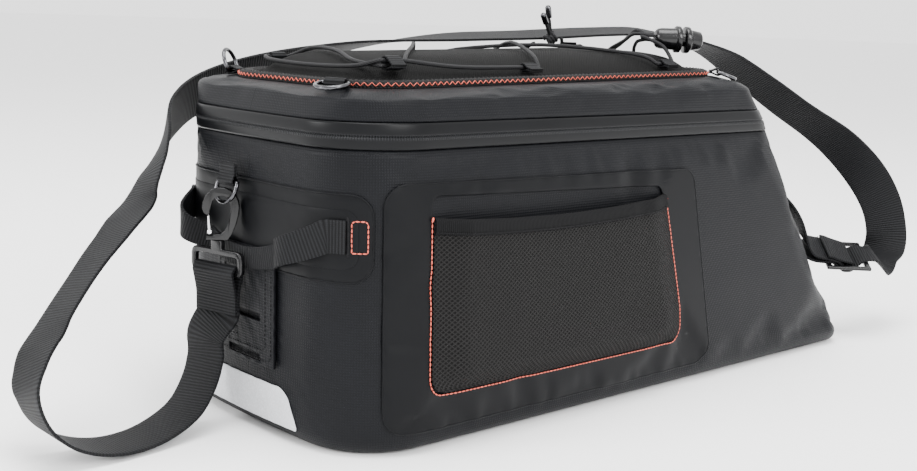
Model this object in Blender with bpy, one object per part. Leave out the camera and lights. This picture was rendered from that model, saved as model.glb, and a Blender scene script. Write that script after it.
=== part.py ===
import bpy
import bmesh
import math
from mathutils import Matrix, Vector

# A soft rack bag that stands on its base: +X runs to the slanted front end, +Z is up,
# the near long side faces -Y and the rear end with the light flap faces -X. Metres.

# Bag body
BAG_LENGTH = 0.478          # at the floor
BAG_WIDTH = 0.197           # at the floor
TUB_HEIGHT = 0.166
ZIP_HEIGHT = 0.015
LID_SIDE = 0.0138           # lid wall above the zip, up to the ridge
WALL = 0.0025
FRONT_SLANT = 0.68          # run of the front end for each metre of height
SIDE_LEAN = 0.0243          # each long side leans in by this for each metre of height
REAR_RADIUS = 0.0455
FRONT_RADIUS = 0.022
FOOT_RADIUS = 0.011
REAR_BULGE = 0.0056
GAP = 0.0003

# Top of the lid
SHOULDER = 0.018            # from the ridge in to the top panel's border
SHOULDER_RISE = 0.0064
TOP_RISE = 0.02             # the top climbs to the front, metre for metre
DOME = 0.0145               # the soft panel swells up this much inside its border
DOME_REACH = 0.050          # and is level this far in from the border
TOP_REAR_RADIUS = 0.042
TOP_FRONT_RADIUS = 0.032
BORDER_WIDTH = 0.012
BORDER_HEIGHT = 0.004
PANEL_THICK = 0.0012
DOME_STEPS = (0.0, 0.10, 0.24, 0.44, 0.72, 1.0)

# Skins on the body
SKIN = 0.0008
SEAM_HEIGHT = 0.1428        # top seam of the rear overlay
OVERLAY_HEIGHT = 0.047
OVERLAY_TURN = 52.0         # how far round the rear corner it reaches, degrees
FLAP_WIDTH = 0.060
FLAP_FOOT = 0.0395
SLIT_WIDTH = 0.033
SLIT_HEIGHT = 0.0045
SLIT_LEVELS = (0.0665, 0.0435)
PATCH_TOP = 0.0295
PATCH_FOOT = 0.0075
PATCH_TOP_WIDTH = 0.076
PATCH_FOOT_WIDTH = 0.097
PATCH_RADIUS = 0.012
PANEL_TURN = 58.6           # the side panels start this far round the rear corner, degrees
PANEL_TOP = 0.1490
PANEL_FOOT = 0.0125
PANEL_TOP_END = 0.0274      # x of the panel's front edge, high up
PANEL_FOOT_END = 0.056      # and low down
PANEL_RADIUS = 0.012

# Side pockets
POCKET_REAR = -0.193
POCKET_TOP_END = -0.001
POCKET_FOOT_END = 0.024
POCKET_FOOT = 0.033
POCKET_TOP = 0.1305
POCKET_SAG = 0.004          # the mouth hangs this much lower in its middle
POCKET_DEPTH = 0.0062
POCKET_CLOTH = 0.0012
BAND_HEIGHT = 0.009
BAND_THICK = 0.0014

# Webbing
STRAP_WIDTH = 0.032
STRAP_THICK = 0.0016
HANDLE_WIDTH = 0.018
HANDLE_THICK = 0.0018
HANDLE_TURN = 35.0          # the handle's sewn ends reach this far round the corners, degrees
HANDLE_LEVEL = 0.1205
HANDLE_STAND = 0.0027       # off the wall in the middle, behind the hook
HANDLE_BULGE = 0.011        # and between the middle and each corner
HANDLE_FREE = 22.0          # the handle leaves the wall this far round the corners, degrees
HANDLE_SAG = 0.021
HANDLE_PINCH = 0.68         # share of its width that is left where it folds in the middle
TAB_WIDTH = 0.0155
TAB_THICK = 0.0024
WEB_THICK = 0.0012

# Rings
RING_WIRE = 0.0026
RING_WIDTH = 0.0205
RING_DEPTH = 0.0128
TOP_RING_WIDTH = 0.0180
TOP_RING_DEPTH = 0.0130

# Ring, hook and loop as they hang on an end wall: metres out from the wall, across and up
END_RING_LEVEL = 0.1410
BAR_PLACE = (0.0068, 0.0110, 0.0)
BOW_OUT = 0.0040            # the ring's bow stands out this much more than its bar
HOOK_YAW = 52.0             # the hook is turned on its swivel, degrees from the wall
LOOP_YAW = 12.0
FRONT_TURN = 32.0           # the front ring and hook lean to the near side, degrees
HANG_CLEAR = 0.0027

# Snap hooks. The outline is in shares of hook width and hook height from the base's middle.
HOOK_WIDTH = 0.0205
HOOK_HEIGHT = 0.0298
HOOK_THICK = 0.0050
HOOK_OUTER = (
    # across,  up
    (-0.290,  0.000),
    (0.290,   0.000),
    (0.400,   0.120),
    (0.500,   0.290),
    (0.570,   0.470),
    (0.595,   0.630),
    (0.570,   0.750),
    (0.480,   0.875),
    (0.350,   0.950),
    (0.180,   0.995),
    (0.000,   1.000),
    (-0.180,  0.950),
    (-0.320,  0.850),
    (-0.400,  0.720),
    (-0.415,  0.610),
    (-0.370,  0.520),
    (-0.290,  0.480),
)
HOOK_INNER = (
    (-0.215,  0.500),
    (-0.195,  0.600),
    (-0.130,  0.750),
    (-0.010,  0.825),
    (0.117,   0.850),
    (0.250,   0.820),
    (0.340,   0.735),
    (0.362,   0.610),
    (0.340,   0.460),
    (0.280,   0.300),
    (0.190,   0.170),
    (0.080,   0.110),
    (-0.080,  0.110),
    (-0.130,  0.075),
    (-0.290,  0.075),
)
HOOK_EYE = (0.117, 0.850)   # where the ring's bow lies in the crown
GATE_PIVOT = (-0.215, 0.155)
GATE_TIP = (-0.245, 0.462)
GATE_THICK = 0.0011
GATE_WIDTH = 0.0046
GATE_RADIUS = 0.0014
LOOP_WIDTH = 0.041
LOOP_HEIGHT = 0.0145
LOOP_BAR = 0.0034
NECK_WIDTH = 0.0085
NECK_HEIGHT = 0.0050

# Strap slider
SLIDER_LENGTH = 0.034
SLIDER_BAR = 0.0042
SLIDER_RAIL = 0.0032
SLIDER_THICK = 0.0026
STRAP_CLEAR = 0.0006

# Bungee net and cord lock
CORD_WIRE = 0.0025
CORD_TAB_WIDTH = 0.010
CORD_TAB_TAIL = 0.008
LOCK_RADIUS = 0.0072
LOCK_LENGTH = 0.0175
LOCK_FLANGE = 0.0092
BUTTON_LENGTH = 0.0125
BUTTON_TRAVEL = 0.003
STEM_RADIUS = 0.0045
CRIMP_RADIUS = 0.0022
CRIMP_LENGTH = 0.009
KNOT_RADIUS = 0.0046

# Levels and places that follow from the sizes above
HALF_LENGTH = BAG_LENGTH / 2
HALF_WIDTH = BAG_WIDTH / 2
REAR_FLAT = HALF_WIDTH - REAR_RADIUS
REAR_ARC = REAR_RADIUS * math.pi / 2
ZIP_TOP = TUB_HEIGHT + ZIP_HEIGHT
RIDGE = ZIP_TOP + LID_SIDE
SEAT = RIDGE + SHOULDER_RISE
BAG_HEIGHT = SEAT + BORDER_HEIGHT
CORNER_STEPS = 8
REAR_STEPS = 3
FRONT_STEPS = 4
UP = Vector((0, 0, 1))
NEAR = -1
FAR = 1

# The strap's way round the bag. Shares of bag length (from the middle), of bag width (far is
# plus) and of bag height, then the direction of its width: degrees from +X about Z, and up.
STRAP_ROUTE = (
    # along,  across,  up,    turn, tilt
    (-0.549,  0.086,  0.2546,   98,   0),
    (-0.551,  0.080,  0.1935,   96,   0),
    (-0.563,  0.070,  0.1222,   94,   0),
    (-0.590,  0.050,  0.0570,   92,   0),
    (-0.640,  0.020,  0.0204,   90,   0),
    (-0.692,  0.005,  0.0173,   90,   0),
    (-0.738,  0.005,  0.0489,   90,   0),
    (-0.769,  0.010,  0.1120,   90,   0),
    (-0.779,  0.030,  0.1935,   88,   0),
    (-0.764,  0.070,  0.2648,   86,   0),
    (-0.735,  0.125,  0.3259,   84,   0),
    (-0.706,  0.155,  0.3972,   82,   0),
    (-0.672,  0.180,  0.4787,   82,   0),
    (-0.632,  0.225,  0.5500,   84,   0),
    (-0.591,  0.295,  0.6121,   84,   0),
    (-0.567,  0.322,  0.6936,   78,  -4),
    (-0.542,  0.374,  0.7598,   70, -18),
    (-0.510,  0.457,  0.8240,   58, -42),
    (-0.460,  0.530,  0.8820,   62, -55),
    (-0.397,  0.545,  0.9309,   82, -58),
    (-0.314,  0.524,  0.9849,   88, -42),
    (-0.226,  0.452,  1.0450,   90, -15),
    (-0.087,  0.350,  1.0817,   92,   4),
    (0.056,   0.289,  1.0980,   92,   7),
    (0.205,   0.230,  1.1183,   92,   7),
    (0.300,   0.160,  1.1183,   93,   7),
    (0.379,   0.050,  1.0572,   96,   4),
    (0.437,  -0.052,  0.9605,   102,  0),
    (0.500,  -0.150,  0.8474,   110,  0),
    (0.573,  -0.250,  0.7282,   120,  0),
    (0.628,  -0.320,  0.6009,   128,  0),
    (0.655,  -0.372,  0.4787,   134,  0),
    (0.661,  -0.400,  0.3667,   132,  0),
    (0.650,  -0.410,  0.2954,   112,  0),
    (0.618,  -0.425,  0.2669,   78,   6),
    (0.598,  -0.450,  0.2700,   62,  10),
)

# Where the strap's slider lies, and the way its middle line and its width run
SLIDER_PLACE = (0.514, -0.423, 0.3056)
SLIDER_LINE = (-0.740, 0.672, 0.02)
SLIDER_ACROSS = (0.63, 0.70, 0.36)
STRAP_GATHER = 0.42       # share of its width lost where the strap turns into the slider
RETURN_SAG = 0.010          # the strap's end sags this much between hook and slider

# Tabs that hold the bungee, at the border's inner edge: shares of bag length and width, the
# way out to the border in degrees, and how many strands run through
BUNGEE_TABS = (
    # name,        along,   across,  out,  strands
    ("rear_near",  -0.397,  -0.284,  -90,  2),
    ("rear_far",   -0.397,  0.284,   90,   1),
    ("near",       -0.184,  -0.305,  -90,  1),
    ("far",        -0.150,  0.305,   90,   1),
    ("far_knot",   0.013,   0.305,   90,   1),
    ("front_near", 0.084,   -0.305,  -90,  1),
    ("front_far",  0.138,   0.264,   45,   2),
)
TAB_LIFT = 0.0055           # a single strand's height above the seat where a tab holds it
STRAND_STEP = 0.0014        # two strands in one tab lie this far above and below its middle

# The bungee's routes. A row is either shares of bag length and bag width and metres above the
# top, or a tab's name, the way through it (1 or -1) and the strand's level in it.
BUNGEE_NET = (
    (0.0450,  0.225,   0.0075),
    ("far_knot", -1, 0),
    (-0.0260, 0.255,   0.0050),
    (-0.0900, 0.010,   0.0062),
    (-0.1500, -0.235,  0.0050),
    ("near", 1, 0),
    (-0.3000, -0.300,  0.0060),
    ("rear_near", 1, 1),
    (-0.4290, -0.210,  0.0056),
    (-0.4310, 0.000,   0.0050),
    (-0.4290, 0.190,   0.0052),
    ("rear_far", 1, 0),
    (-0.3660, 0.200,   0.0046),
    (-0.3900, 0.000,   0.0046),
    (-0.4160, -0.170,  0.0046),
    ("rear_near", -1, -1),
    (-0.3460, -0.200,  0.0044),
    (-0.2700, 0.000,   0.0044),
    (-0.2200, 0.140,   0.0054),
    (-0.1860, 0.240,   0.0050),
    ("far", 1, 0),
    (-0.1050, 0.240,   0.0044),
    (-0.0300, 0.010,   0.0044),
    (0.0480,  -0.240,  0.0044),
    ("front_near", -1, 0),
    (0.1100,  -0.245,  0.0090),
    (0.1000,  -0.190,  0.0112),
    (0.1000,  -0.163,  0.0120),
)
BUNGEE_FAR = (
    (0.0740,  0.160,   0.0080),
    (0.0860,  0.185,   0.0062),
    (0.1000,  0.222,   0.0048),
    (0.1120,  0.266,   0.0082),
    ("front_far", 1, 1),
    (0.1550,  0.170,   0.0085),
    (0.1480,  0.060,   0.0110),
    (0.1240,  -0.060,  0.0150),
    (0.1085,  -0.115,  0.0165),
    (0.1070,  -0.140,  0.0160),
)
BUNGEE_LOOP = (
    (0.1030,  -0.148,  0.0140),
    (0.1020,  -0.115,  0.0130),
    (0.1180,  -0.050,  0.0105),
    (0.1340,  0.040,   0.0080),
    (0.1540,  0.165,   0.0054),
    ("front_far", -1, -1),
    (0.1215,  0.330,   0.0062),
    (0.1381,  0.348,   0.0060),
    (0.1530,  0.334,   0.0060),
    (0.1670,  0.297,   0.0060),
    (0.1720,  0.250,   0.0060),
    (0.1680,  0.150,   0.0060),
    (0.1621,  0.080,   0.0060),
    (0.1500,  -0.020,  0.0048),
    (0.1280,  -0.075,  0.0075),
    (0.1110,  -0.122,  0.0092),
    (0.1100,  -0.142,  0.0102),
)


def clear_scene():
    """Empties the file of whatever objects it opens with."""
    for thing in list(bpy.data.objects):
        bpy.data.objects.remove(thing, do_unlink=True)


def finish(name, colour, roughness, metallic=0.0):
    material = bpy.data.materials.new(name)
    material.use_nodes = True
    shader = material.node_tree.nodes["Principled BSDF"]
    shader.inputs["Base Color"].default_value = (*colour, 1.0)
    shader.inputs["Roughness"].default_value = roughness
    shader.inputs["Metallic"].default_value = metallic
    return material


def keep(name, bm, material, smooth=True):
    """Turns a bmesh into a named object of one closed body with its faces outwards."""
    bmesh.ops.remove_doubles(bm, verts=bm.verts, dist=1e-7)
    bmesh.ops.recalc_face_normals(bm, faces=bm.faces)
    mesh = bpy.data.meshes.new(name)
    bm.to_mesh(mesh)
    bm.free()
    thing = bpy.data.objects.new(name, mesh)
    bpy.context.scene.collection.objects.link(thing)
    mesh.materials.append(material)
    if smooth:
        mesh.shade_smooth()
        mesh.set_sharp_from_angle(angle=math.radians(35))
    return thing


def front_x(z):
    """Where the slanted front end lies at a height."""
    return HALF_LENGTH - FRONT_SLANT * z


def lean(z):
    """How far the long sides have leaned in at a height."""
    return 1 - SIDE_LEAN * z / HALF_WIDTH


def foot_inset(z, radius):
    """How far the rounded foot draws the walls in at a height."""
    if z >= radius:
        return 0.0
    return radius - math.sqrt(max(0.0, radius ** 2 - (radius - z) ** 2))


def corner(turn):
    """Developed distance from the rear middle to a place round the rear corner."""
    return REAR_FLAT + REAR_ARC * turn / 90


def side(x):
    """Developed distance from the rear middle to a place x along a long side."""
    return REAR_FLAT + REAR_ARC + x + HALF_LENGTH - REAR_RADIUS


def plan(s):
    """Outline in plan at developed distance s: place and outward direction on the far half."""
    if s <= REAR_FLAT:
        x, y, nx, ny = -HALF_LENGTH, s, -1.0, 0.0
    elif s <= REAR_FLAT + REAR_ARC:
        angle = (s - REAR_FLAT) / REAR_RADIUS
        nx, ny = -math.cos(angle), math.sin(angle)
        x = -HALF_LENGTH + REAR_RADIUS * (1 + nx)
        y = REAR_FLAT + REAR_RADIUS * ny
    else:
        x, y, nx, ny = s - REAR_FLAT - REAR_ARC - HALF_LENGTH + REAR_RADIUS, HALF_WIDTH, 0.0, 1.0
    return x - REAR_BULGE * (1 - (y / HALF_WIDTH) ** 2), y, nx, ny


STATIONS = [REAR_FLAT * i / REAR_STEPS for i in range(REAR_STEPS)]
STATIONS += [REAR_FLAT + REAR_ARC * i / CORNER_STEPS for i in range(CORNER_STEPS + 1)]
FOOT_LEVELS = [FOOT_RADIUS * (1 - math.cos(math.radians(a))) for a in (0, 22.5, 45, 67.5, 90)]


def wall_point(s, z, out, hand=FAR):
    """A point on the body's wall, pushed out by out. A negative s is the other half."""
    if s < 0:
        s, hand = -s, -hand
    x, y, nx, ny = plan(s)
    push = out - foot_inset(z, FOOT_RADIUS)
    return Vector((x + nx * push, hand * (y * lean(z) + ny * push), z))


def body_ring(z, out, foot=FOOT_RADIUS, base=0.0):
    """The whole outline at one level, offset by out, from the rear middle round by the far side."""
    inset = foot_inset(z - base, foot)
    push = out - inset
    half = []
    for s in STATIONS:
        x, y, nx, ny = plan(s)
        half.append((x + nx * push, y * lean(z) + ny * push))
    radius = FRONT_RADIUS
    for i in range(FRONT_STEPS + 1):
        angle = math.pi / 2 * i / FRONT_STEPS
        nx, ny = math.sin(angle), math.cos(angle)
        x = front_x(z) - radius + nx * (radius + push)
        y = HALF_WIDTH * lean(z) - radius + ny * (radius + push)
        half.append((x, y))
    near = [(x, -y) for x, y in reversed(half[1:])]
    return [Vector((x, y, z)) for x, y in half] + [Vector((x, y, z)) for x, y in near]


def top_ring(inset, height, settle=0.0):
    """A ring on the lid's top: inset from the ridge, height above the floor at the middle."""
    rear = -HALF_LENGTH + inset - REAR_BULGE * 0.5
    front = front_x(RIDGE) - inset
    half_width = HALF_WIDTH * lean(RIDGE) - inset
    share = min(1.0, inset / SHOULDER)
    rear_radius = REAR_RADIUS + (TOP_REAR_RADIUS - REAR_RADIUS) * share
    rear_radius = max(0.006, rear_radius - max(0.0, inset - SHOULDER))
    front_radius = FRONT_RADIUS + (TOP_FRONT_RADIUS - FRONT_RADIUS) * share
    front_radius = max(0.004, front_radius - max(0.0, inset - SHOULDER))
    half = []
    for i in range(REAR_STEPS):
        half.append((rear, (half_width - rear_radius) * i / REAR_STEPS))
    for i in range(CORNER_STEPS + 1):
        angle = math.pi / 2 * i / CORNER_STEPS
        half.append((rear + rear_radius * (1 - math.cos(angle)),
                     half_width - rear_radius * (1 - math.sin(angle))))
    for i in range(FRONT_STEPS + 1):
        angle = math.pi / 2 * i / FRONT_STEPS
        half.append((front - front_radius * (1 - math.sin(angle)),
                     half_width - front_radius * (1 - math.cos(angle))))
    points = half + [(x, -y) for x, y in reversed(half[1:])]
    return [Vector((x, y, height + (1 - settle) * TOP_RISE * x)) for x, y in points]


def dome_rise(share):
    """Height of the swell at a share of the dome's reach."""
    return DOME * (1 - (1 - min(1.0, max(0.0, share))) ** 3)


def dome_rings(height, start=0.0):
    """Rings over the swell, from the border in."""
    edge = SHOULDER + BORDER_WIDTH
    return [top_ring(edge + start + (DOME_REACH - start) * t, height + dome_rise(t))
            for t in DOME_STEPS]


def seat_height(x, y):
    inset = min(HALF_WIDTH * lean(RIDGE) - abs(y), front_x(RIDGE) - x,
                x + HALF_LENGTH + REAR_BULGE / 2)
    rise = dome_rise((inset - SHOULDER - BORDER_WIDTH) / DOME_REACH)
    return SEAT + TOP_RISE * x + rise


def on_top(along, across, above):
    x, y = along * BAG_LENGTH, across * BAG_WIDTH
    return Vector((x, y, seat_height(x, y) + above))


def placed(along, across, up):
    return Vector((along * BAG_LENGTH, across * BAG_WIDTH, up * BAG_HEIGHT))


def loft(name, rings, material, closed=False, smooth=True, flat_strap=False):
    """Skins rings of equal count. An open loft gets a cap on its first and last ring. A flat
    strap's two faces are split along the same diagonals, so they keep apart where it twists."""
    bm = bmesh.new()
    loops = [[bm.verts.new(p) for p in ring] for ring in rings]
    pairs = list(zip(loops, loops[1:]))
    if closed:
        pairs.append((loops[-1], loops[0]))
    for one, two in pairs:
        for i in range(len(one)):
            j = (i + 1) % len(one)
            if not flat_strap:
                bm.faces.new((one[i], one[j], two[j], two[i]))
            elif i == 2:
                bm.faces.new((one[i], one[j], two[i]))
                bm.faces.new((one[j], two[j], two[i]))
            else:
                bm.faces.new((one[i], one[j], two[j]))
                bm.faces.new((one[i], two[j], two[i]))
    if not closed:
        bm.faces.new(loops[0])
        bm.faces.new(loops[-1])
    return keep(name, bm, material, smooth)


def patch(name, outline, t0, t1, place, material, cuts=(), levels=()):
    """A skin from a flat outline of (s, z) points. It is cut along the wall's own facet
    lines, and its two faces lie t0 and t1 out from the wall."""
    bm = bmesh.new()
    bm.faces.new([bm.verts.new((s, z, 0)) for s, z in outline])
    for axis, lines in ((0, cuts), (1, levels)):
        for value in lines:
            origin = Vector((0, 0, 0))
            origin[axis] = value
            normal = Vector((0, 0, 0))
            normal[axis] = 1
            everything = bm.verts[:] + bm.edges[:] + bm.faces[:]
            bmesh.ops.bisect_plane(bm, geom=everything, dist=1e-6, plane_co=origin, plane_no=normal)
    flat = {v: (v.co.x, v.co.y) for v in bm.verts}
    rim = [edge for edge in bm.edges if edge.is_boundary]
    faces = bm.faces[:]
    upper = {v: bm.verts.new(place(*flat[v], t1)) for v in flat}
    for v, (s, z) in flat.items():
        v.co = place(s, z, t0)
    for face in faces:
        bm.faces.new([upper[v] for v in reversed(face.verts)])
    for edge in rim:
        a, b = edge.verts
        bm.faces.new((a, b, upper[b], upper[a]))
    bmesh.ops.triangulate(bm, faces=bm.faces)
    return keep(name, bm, material)


def cells(name, across, along, holes, t0, t1, place, material):
    """A plate on a grid of cells, some of them left out, with two faces t0 and t1 out."""
    bm = bmesh.new()
    lower = [[bm.verts.new(place(a, b, t0)) for b in along] for a in across]
    upper = [[bm.verts.new(place(a, b, t1)) for b in along] for a in across]
    walls = {}
    for i in range(len(across) - 1):
        for j in range(len(along) - 1):
            if (i, j) in holes:
                continue
            square = ((i, j), (i + 1, j), (i + 1, j + 1), (i, j + 1))
            bm.faces.new([lower[a][b] for a, b in reversed(square)])
            bm.faces.new([upper[a][b] for a, b in square])
            for k in range(4):
                edge = (square[k], square[(k + 1) % 4])
                if (edge[1], edge[0]) in walls:
                    del walls[(edge[1], edge[0])]
                else:
                    walls[edge] = True
    for (a, b), (c, d) in walls:
        bm.faces.new((lower[a][b], lower[c][d], upper[c][d], upper[a][b]))
    loose = [v for v in bm.verts if not v.link_faces]
    bmesh.ops.delete(bm, geom=loose, context="VERTS")
    return keep(name, bm, material)


def rounded(corners, radii, steps=4):
    """A closed outline with its corners rounded, each by its own radius."""
    points = []
    count = len(corners)
    for i in range(count):
        before, here, after = (Vector(corners[(i + k) % count]) for k in (-1, 0, 1))
        radius = radii[i]
        if radius <= 0:
            points.append(tuple(here))
            continue
        to_before = (before - here).normalized()
        to_after = (after - here).normalized()
        half = to_before.angle(to_after) / 2
        reach = radius / math.tan(half)
        middle = here + (to_before + to_after).normalized() * radius / math.sin(half)
        start = here + to_before * reach - middle
        end = here + to_after * reach - middle
        swing = start.angle_signed(end)
        for k in range(steps + 1):
            angle = -swing * k / steps
            cos, sin = math.cos(angle), math.sin(angle)
            points.append((middle.x + start.x * cos - start.y * sin,
                           middle.y + start.x * sin + start.y * cos))
    return points


def smooth_route(points, steps):
    """Points on a Catmull-Rom curve through the given ones, as tuples of any length."""
    result = []
    ends = [points[0]] + list(points) + [points[-1]]
    for i in range(len(points) - 1):
        a, b, c, d = ends[i:i + 4]
        for k in range(steps):
            t = k / steps
            result.append(tuple(
                0.5 * (2 * q + (r - p) * t + (2 * p - 5 * q + 4 * r - s) * t * t
                       + (3 * q - p - 3 * r + s) * t ** 3)
                for p, q, r, s in zip(a, b, c, d)))
    result.append(tuple(points[-1]))
    return result


def ribbon(name, rows, width, thick, material):
    """A flat strap through rows of (place, width direction, width share, thickness share)."""
    rings = []
    for i, (place, across, wide, deep) in enumerate(rows):
        before = rows[max(0, i - 1)][0]
        after = rows[min(len(rows) - 1, i + 1)][0]
        run = (after - before).normalized()
        across = (across - run * across.dot(run)).normalized()
        normal = run.cross(across)
        half_w, half_t = across * width * wide / 2, normal * thick * deep / 2
        rings.append([place - half_w - half_t, place + half_w - half_t,
                      place + half_w + half_t, place - half_w + half_t])
    return loft(name, rings, material, flat_strap=True)


def tube(name, points, wire, material):
    """A held cord: a bevelled curve with closed ends, a point every 2 or 3 diameters."""
    curve = bpy.data.curves.new(name, "CURVE")
    curve.dimensions = "3D"
    curve.bevel_depth = wire / 2
    curve.bevel_resolution = 2
    curve.use_fill_caps = True
    spline = curve.splines.new("POLY")
    spline.points.add(len(points) - 1)
    for target, point in zip(spline.points, points):
        target.co = (*point, 1.0)
    thing = bpy.data.objects.new(name, curve)
    bpy.context.scene.collection.objects.link(thing)
    curve.materials.append(material)
    return thing


def frame_of(origin, axis_u, axis_v):
    """A placement whose local X, Y, Z are axis_u, axis_v and their cross product."""
    u = Vector(axis_u).normalized()
    w = u.cross(Vector(axis_v)).normalized()
    v = w.cross(u)
    turn = Matrix((u, v, w)).transposed().to_4x4()
    return Matrix.Translation(origin) @ turn


def wire_ring(name, frame, path, wire, material, sides=8):
    """A closed round wire along a flat path in the frame's XY plane."""
    count = len(path)
    rings = []
    for i in range(count):
        before, here, after = (Vector((*path[(i + k) % count], 0)) for k in (-1, 0, 1))
        run = ((here - before).normalized() + (after - here).normalized()).normalized()
        out = run.cross(UP)
        rings.append([frame @ (here + (out * math.cos(a) + UP * math.sin(a)) * wire / 2)
                      for a in (2 * math.pi * k / sides for k in range(sides))])
    return loft(name, rings, material, closed=True)


def d_path(width, depth, steps=9):
    """A D: its straight bar lies on the X axis, its bow reaches down to -depth."""
    half = width / 2
    bow = [(half * math.cos(a), -depth * 0.35 - depth * 0.65 * math.sin(a))
           for a in (math.pi * k / steps for k in range(steps + 1))]
    return [(0.0, 0.0), (half * 0.8, 0.0), (half * 0.96, -depth * 0.06)] + bow + [
        (-half * 0.96, -depth * 0.06), (-half * 0.8, 0.0)]


def web_tab(name, frame, width, tunnel, tail, material, steps=12):
    """Webbing folded round a bar: the bar runs along local X, the tail along local +Y."""
    outer = tunnel + WEB_THICK
    profile = []
    for k in range(steps + 1):
        angle = math.radians(60 + 240 * k / steps)
        profile.append(((outer * math.cos(angle), outer * math.sin(angle)),
                        (tunnel * math.cos(angle), tunnel * math.sin(angle))))
    neck = outer * 1.15
    for y, z, angle in ((neck, -TAB_THICK / 2, -45), (tail, -TAB_THICK / 2, -15),
                        (tail, TAB_THICK / 2, 15), (neck, TAB_THICK / 2, 45)):
        turn = math.radians(angle)
        profile.append(((y, z), (tunnel * math.cos(turn), tunnel * math.sin(turn))))
    bm = bmesh.new()
    rows = []
    for x in (-width / 2, width / 2):
        rows.append([[bm.verts.new(frame @ Vector((x, *point))) for point in pair]
                     for pair in profile])
    count = len(profile)
    for i in range(count):
        j = (i + 1) % count
        (a0, b0), (a1, b1) = rows[0][i], rows[0][j]
        (c0, d0), (c1, d1) = rows[1][i], rows[1][j]
        bm.faces.new((a0, a1, b1, b0))
        bm.faces.new((c0, d0, d1, c1))
        bm.faces.new((a0, c0, c1, a1))
        bm.faces.new((b0, b1, d1, d0))
    return keep(name, bm, material)


def plate(name, frame, outline, thick, material):
    """A flat outline in the frame's XY plane, given thickness along local Z about the plane."""
    bm = bmesh.new()
    rows = [[bm.verts.new(frame @ Vector((x, y, z))) for x, y in outline]
            for z in (-thick / 2, thick / 2)]
    for i in range(len(outline)):
        j = (i + 1) % len(outline)
        bm.faces.new((rows[0][i], rows[0][j], rows[1][j], rows[1][i]))
    bm.faces.new(rows[0])
    bm.faces.new(rows[1])
    return keep(name, bm, material)


def turned(name, frame, profile, material, sides=16):
    """A solid of revolution about local X from (x, radius) rows."""
    rings = []
    for x, radius in profile:
        rings.append([frame @ Vector((x, radius * math.cos(a), radius * math.sin(a)))
                      for a in (2 * math.pi * k / sides for k in range(sides))])
    return loft(name, rings, material)


def make_body(cloth):
    """The hollow tub: a lofted shell open at the top."""
    outer = [body_ring(z, 0) for z in FOOT_LEVELS] + [body_ring(TUB_HEIGHT, 0)]
    inner_foot = FOOT_RADIUS - WALL
    inner = [body_ring(TUB_HEIGHT, -WALL)]
    for z in reversed(FOOT_LEVELS):
        level = WALL + z * inner_foot / FOOT_RADIUS
        inner.append(body_ring(level, -WALL, inner_foot, WALL))
    return loft("body_tub", outer + inner, cloth)


def make_zip_tape(tape):
    """The zip band between the tub and the lid."""
    low, high = TUB_HEIGHT + GAP, ZIP_TOP - GAP
    rings = [body_ring(low, 0), body_ring(high, 0), body_ring(high, -WALL), body_ring(low, -WALL)]
    return loft("zip_tape", rings, tape, closed=True)


def make_zip_slider(metal):
    """The slider is parked at the middle of the front end, under the lid's edge."""
    level = TUB_HEIGHT + ZIP_HEIGHT / 2
    slope = Vector((FRONT_SLANT, 0, -1)).normalized()
    out = Vector((1, 0, FRONT_SLANT)).normalized()
    place = Vector((front_x(level), 0, level)) + out * (GAP + 0.0022)
    frame = frame_of(place, slope, (0, 1, 0))
    outline = rounded([(-0.005, -0.004), (0.022, -0.003), (0.022, 0.003), (-0.005, 0.004)],
                      [0.002] * 4, 2)
    return plate("zip_slider", frame, outline, 0.0036, metal)


def make_lid(cloth):
    """The lid: its side wall, its shoulder and the shell under the mesh panel."""
    edge = ZIP_TOP
    soften = LID_SIDE * 0.25
    outer = [
        body_ring(edge, 0),
        top_ring(0, RIDGE - soften, 0.75),
        top_ring(0.0012, RIDGE, 0.7),
        top_ring(SHOULDER * 0.3, RIDGE + SHOULDER_RISE * 0.45, 0.45),
        top_ring(SHOULDER * 0.65, RIDGE + SHOULDER_RISE * 0.8, 0.2),
        top_ring(SHOULDER, SEAT, 0),
    ] + dome_rings(SEAT)
    inner = list(reversed(dome_rings(SEAT - WALL))) + [
        top_ring(SHOULDER, SEAT - WALL, 0),
        top_ring(SHOULDER * 0.65, RIDGE + SHOULDER_RISE * 0.8 - WALL, 0.2),
        top_ring(WALL + 0.002, RIDGE - WALL, 0.6),
        top_ring(WALL, RIDGE - soften - WALL * 0.4, 0.75),
        body_ring(edge, -WALL),
    ]
    bm = bmesh.new()
    loops = [[bm.verts.new(p) for p in ring] for ring in outer]
    inside = [[bm.verts.new(p) for p in ring] for ring in inner]
    for one, two in list(zip(loops, loops[1:])) + list(zip(inside, inside[1:])) + [
            (inside[-1], loops[0])]:
        for i in range(len(one)):
            j = (i + 1) % len(one)
            bm.faces.new((one[i], one[j], two[j], two[i]))
    bm.faces.new(loops[-1])
    bm.faces.new(inside[0])
    return keep("lid", bm, cloth)


def make_top(mesh_cloth, border_web):
    """The domed mesh panel and the webbing border round it."""
    seat = SEAT + GAP
    inner_edge = SHOULDER + BORDER_WIDTH
    border = [top_ring(SHOULDER, seat), top_ring(SHOULDER, SEAT + BORDER_HEIGHT),
              top_ring(inner_edge, SEAT + BORDER_HEIGHT), top_ring(inner_edge, seat)]
    loft("top_border", border, border_web, closed=True)
    loft("top_panel", list(reversed(dome_rings(seat, GAP)))
         + dome_rings(seat + PANEL_THICK, GAP), mesh_cloth)


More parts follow.
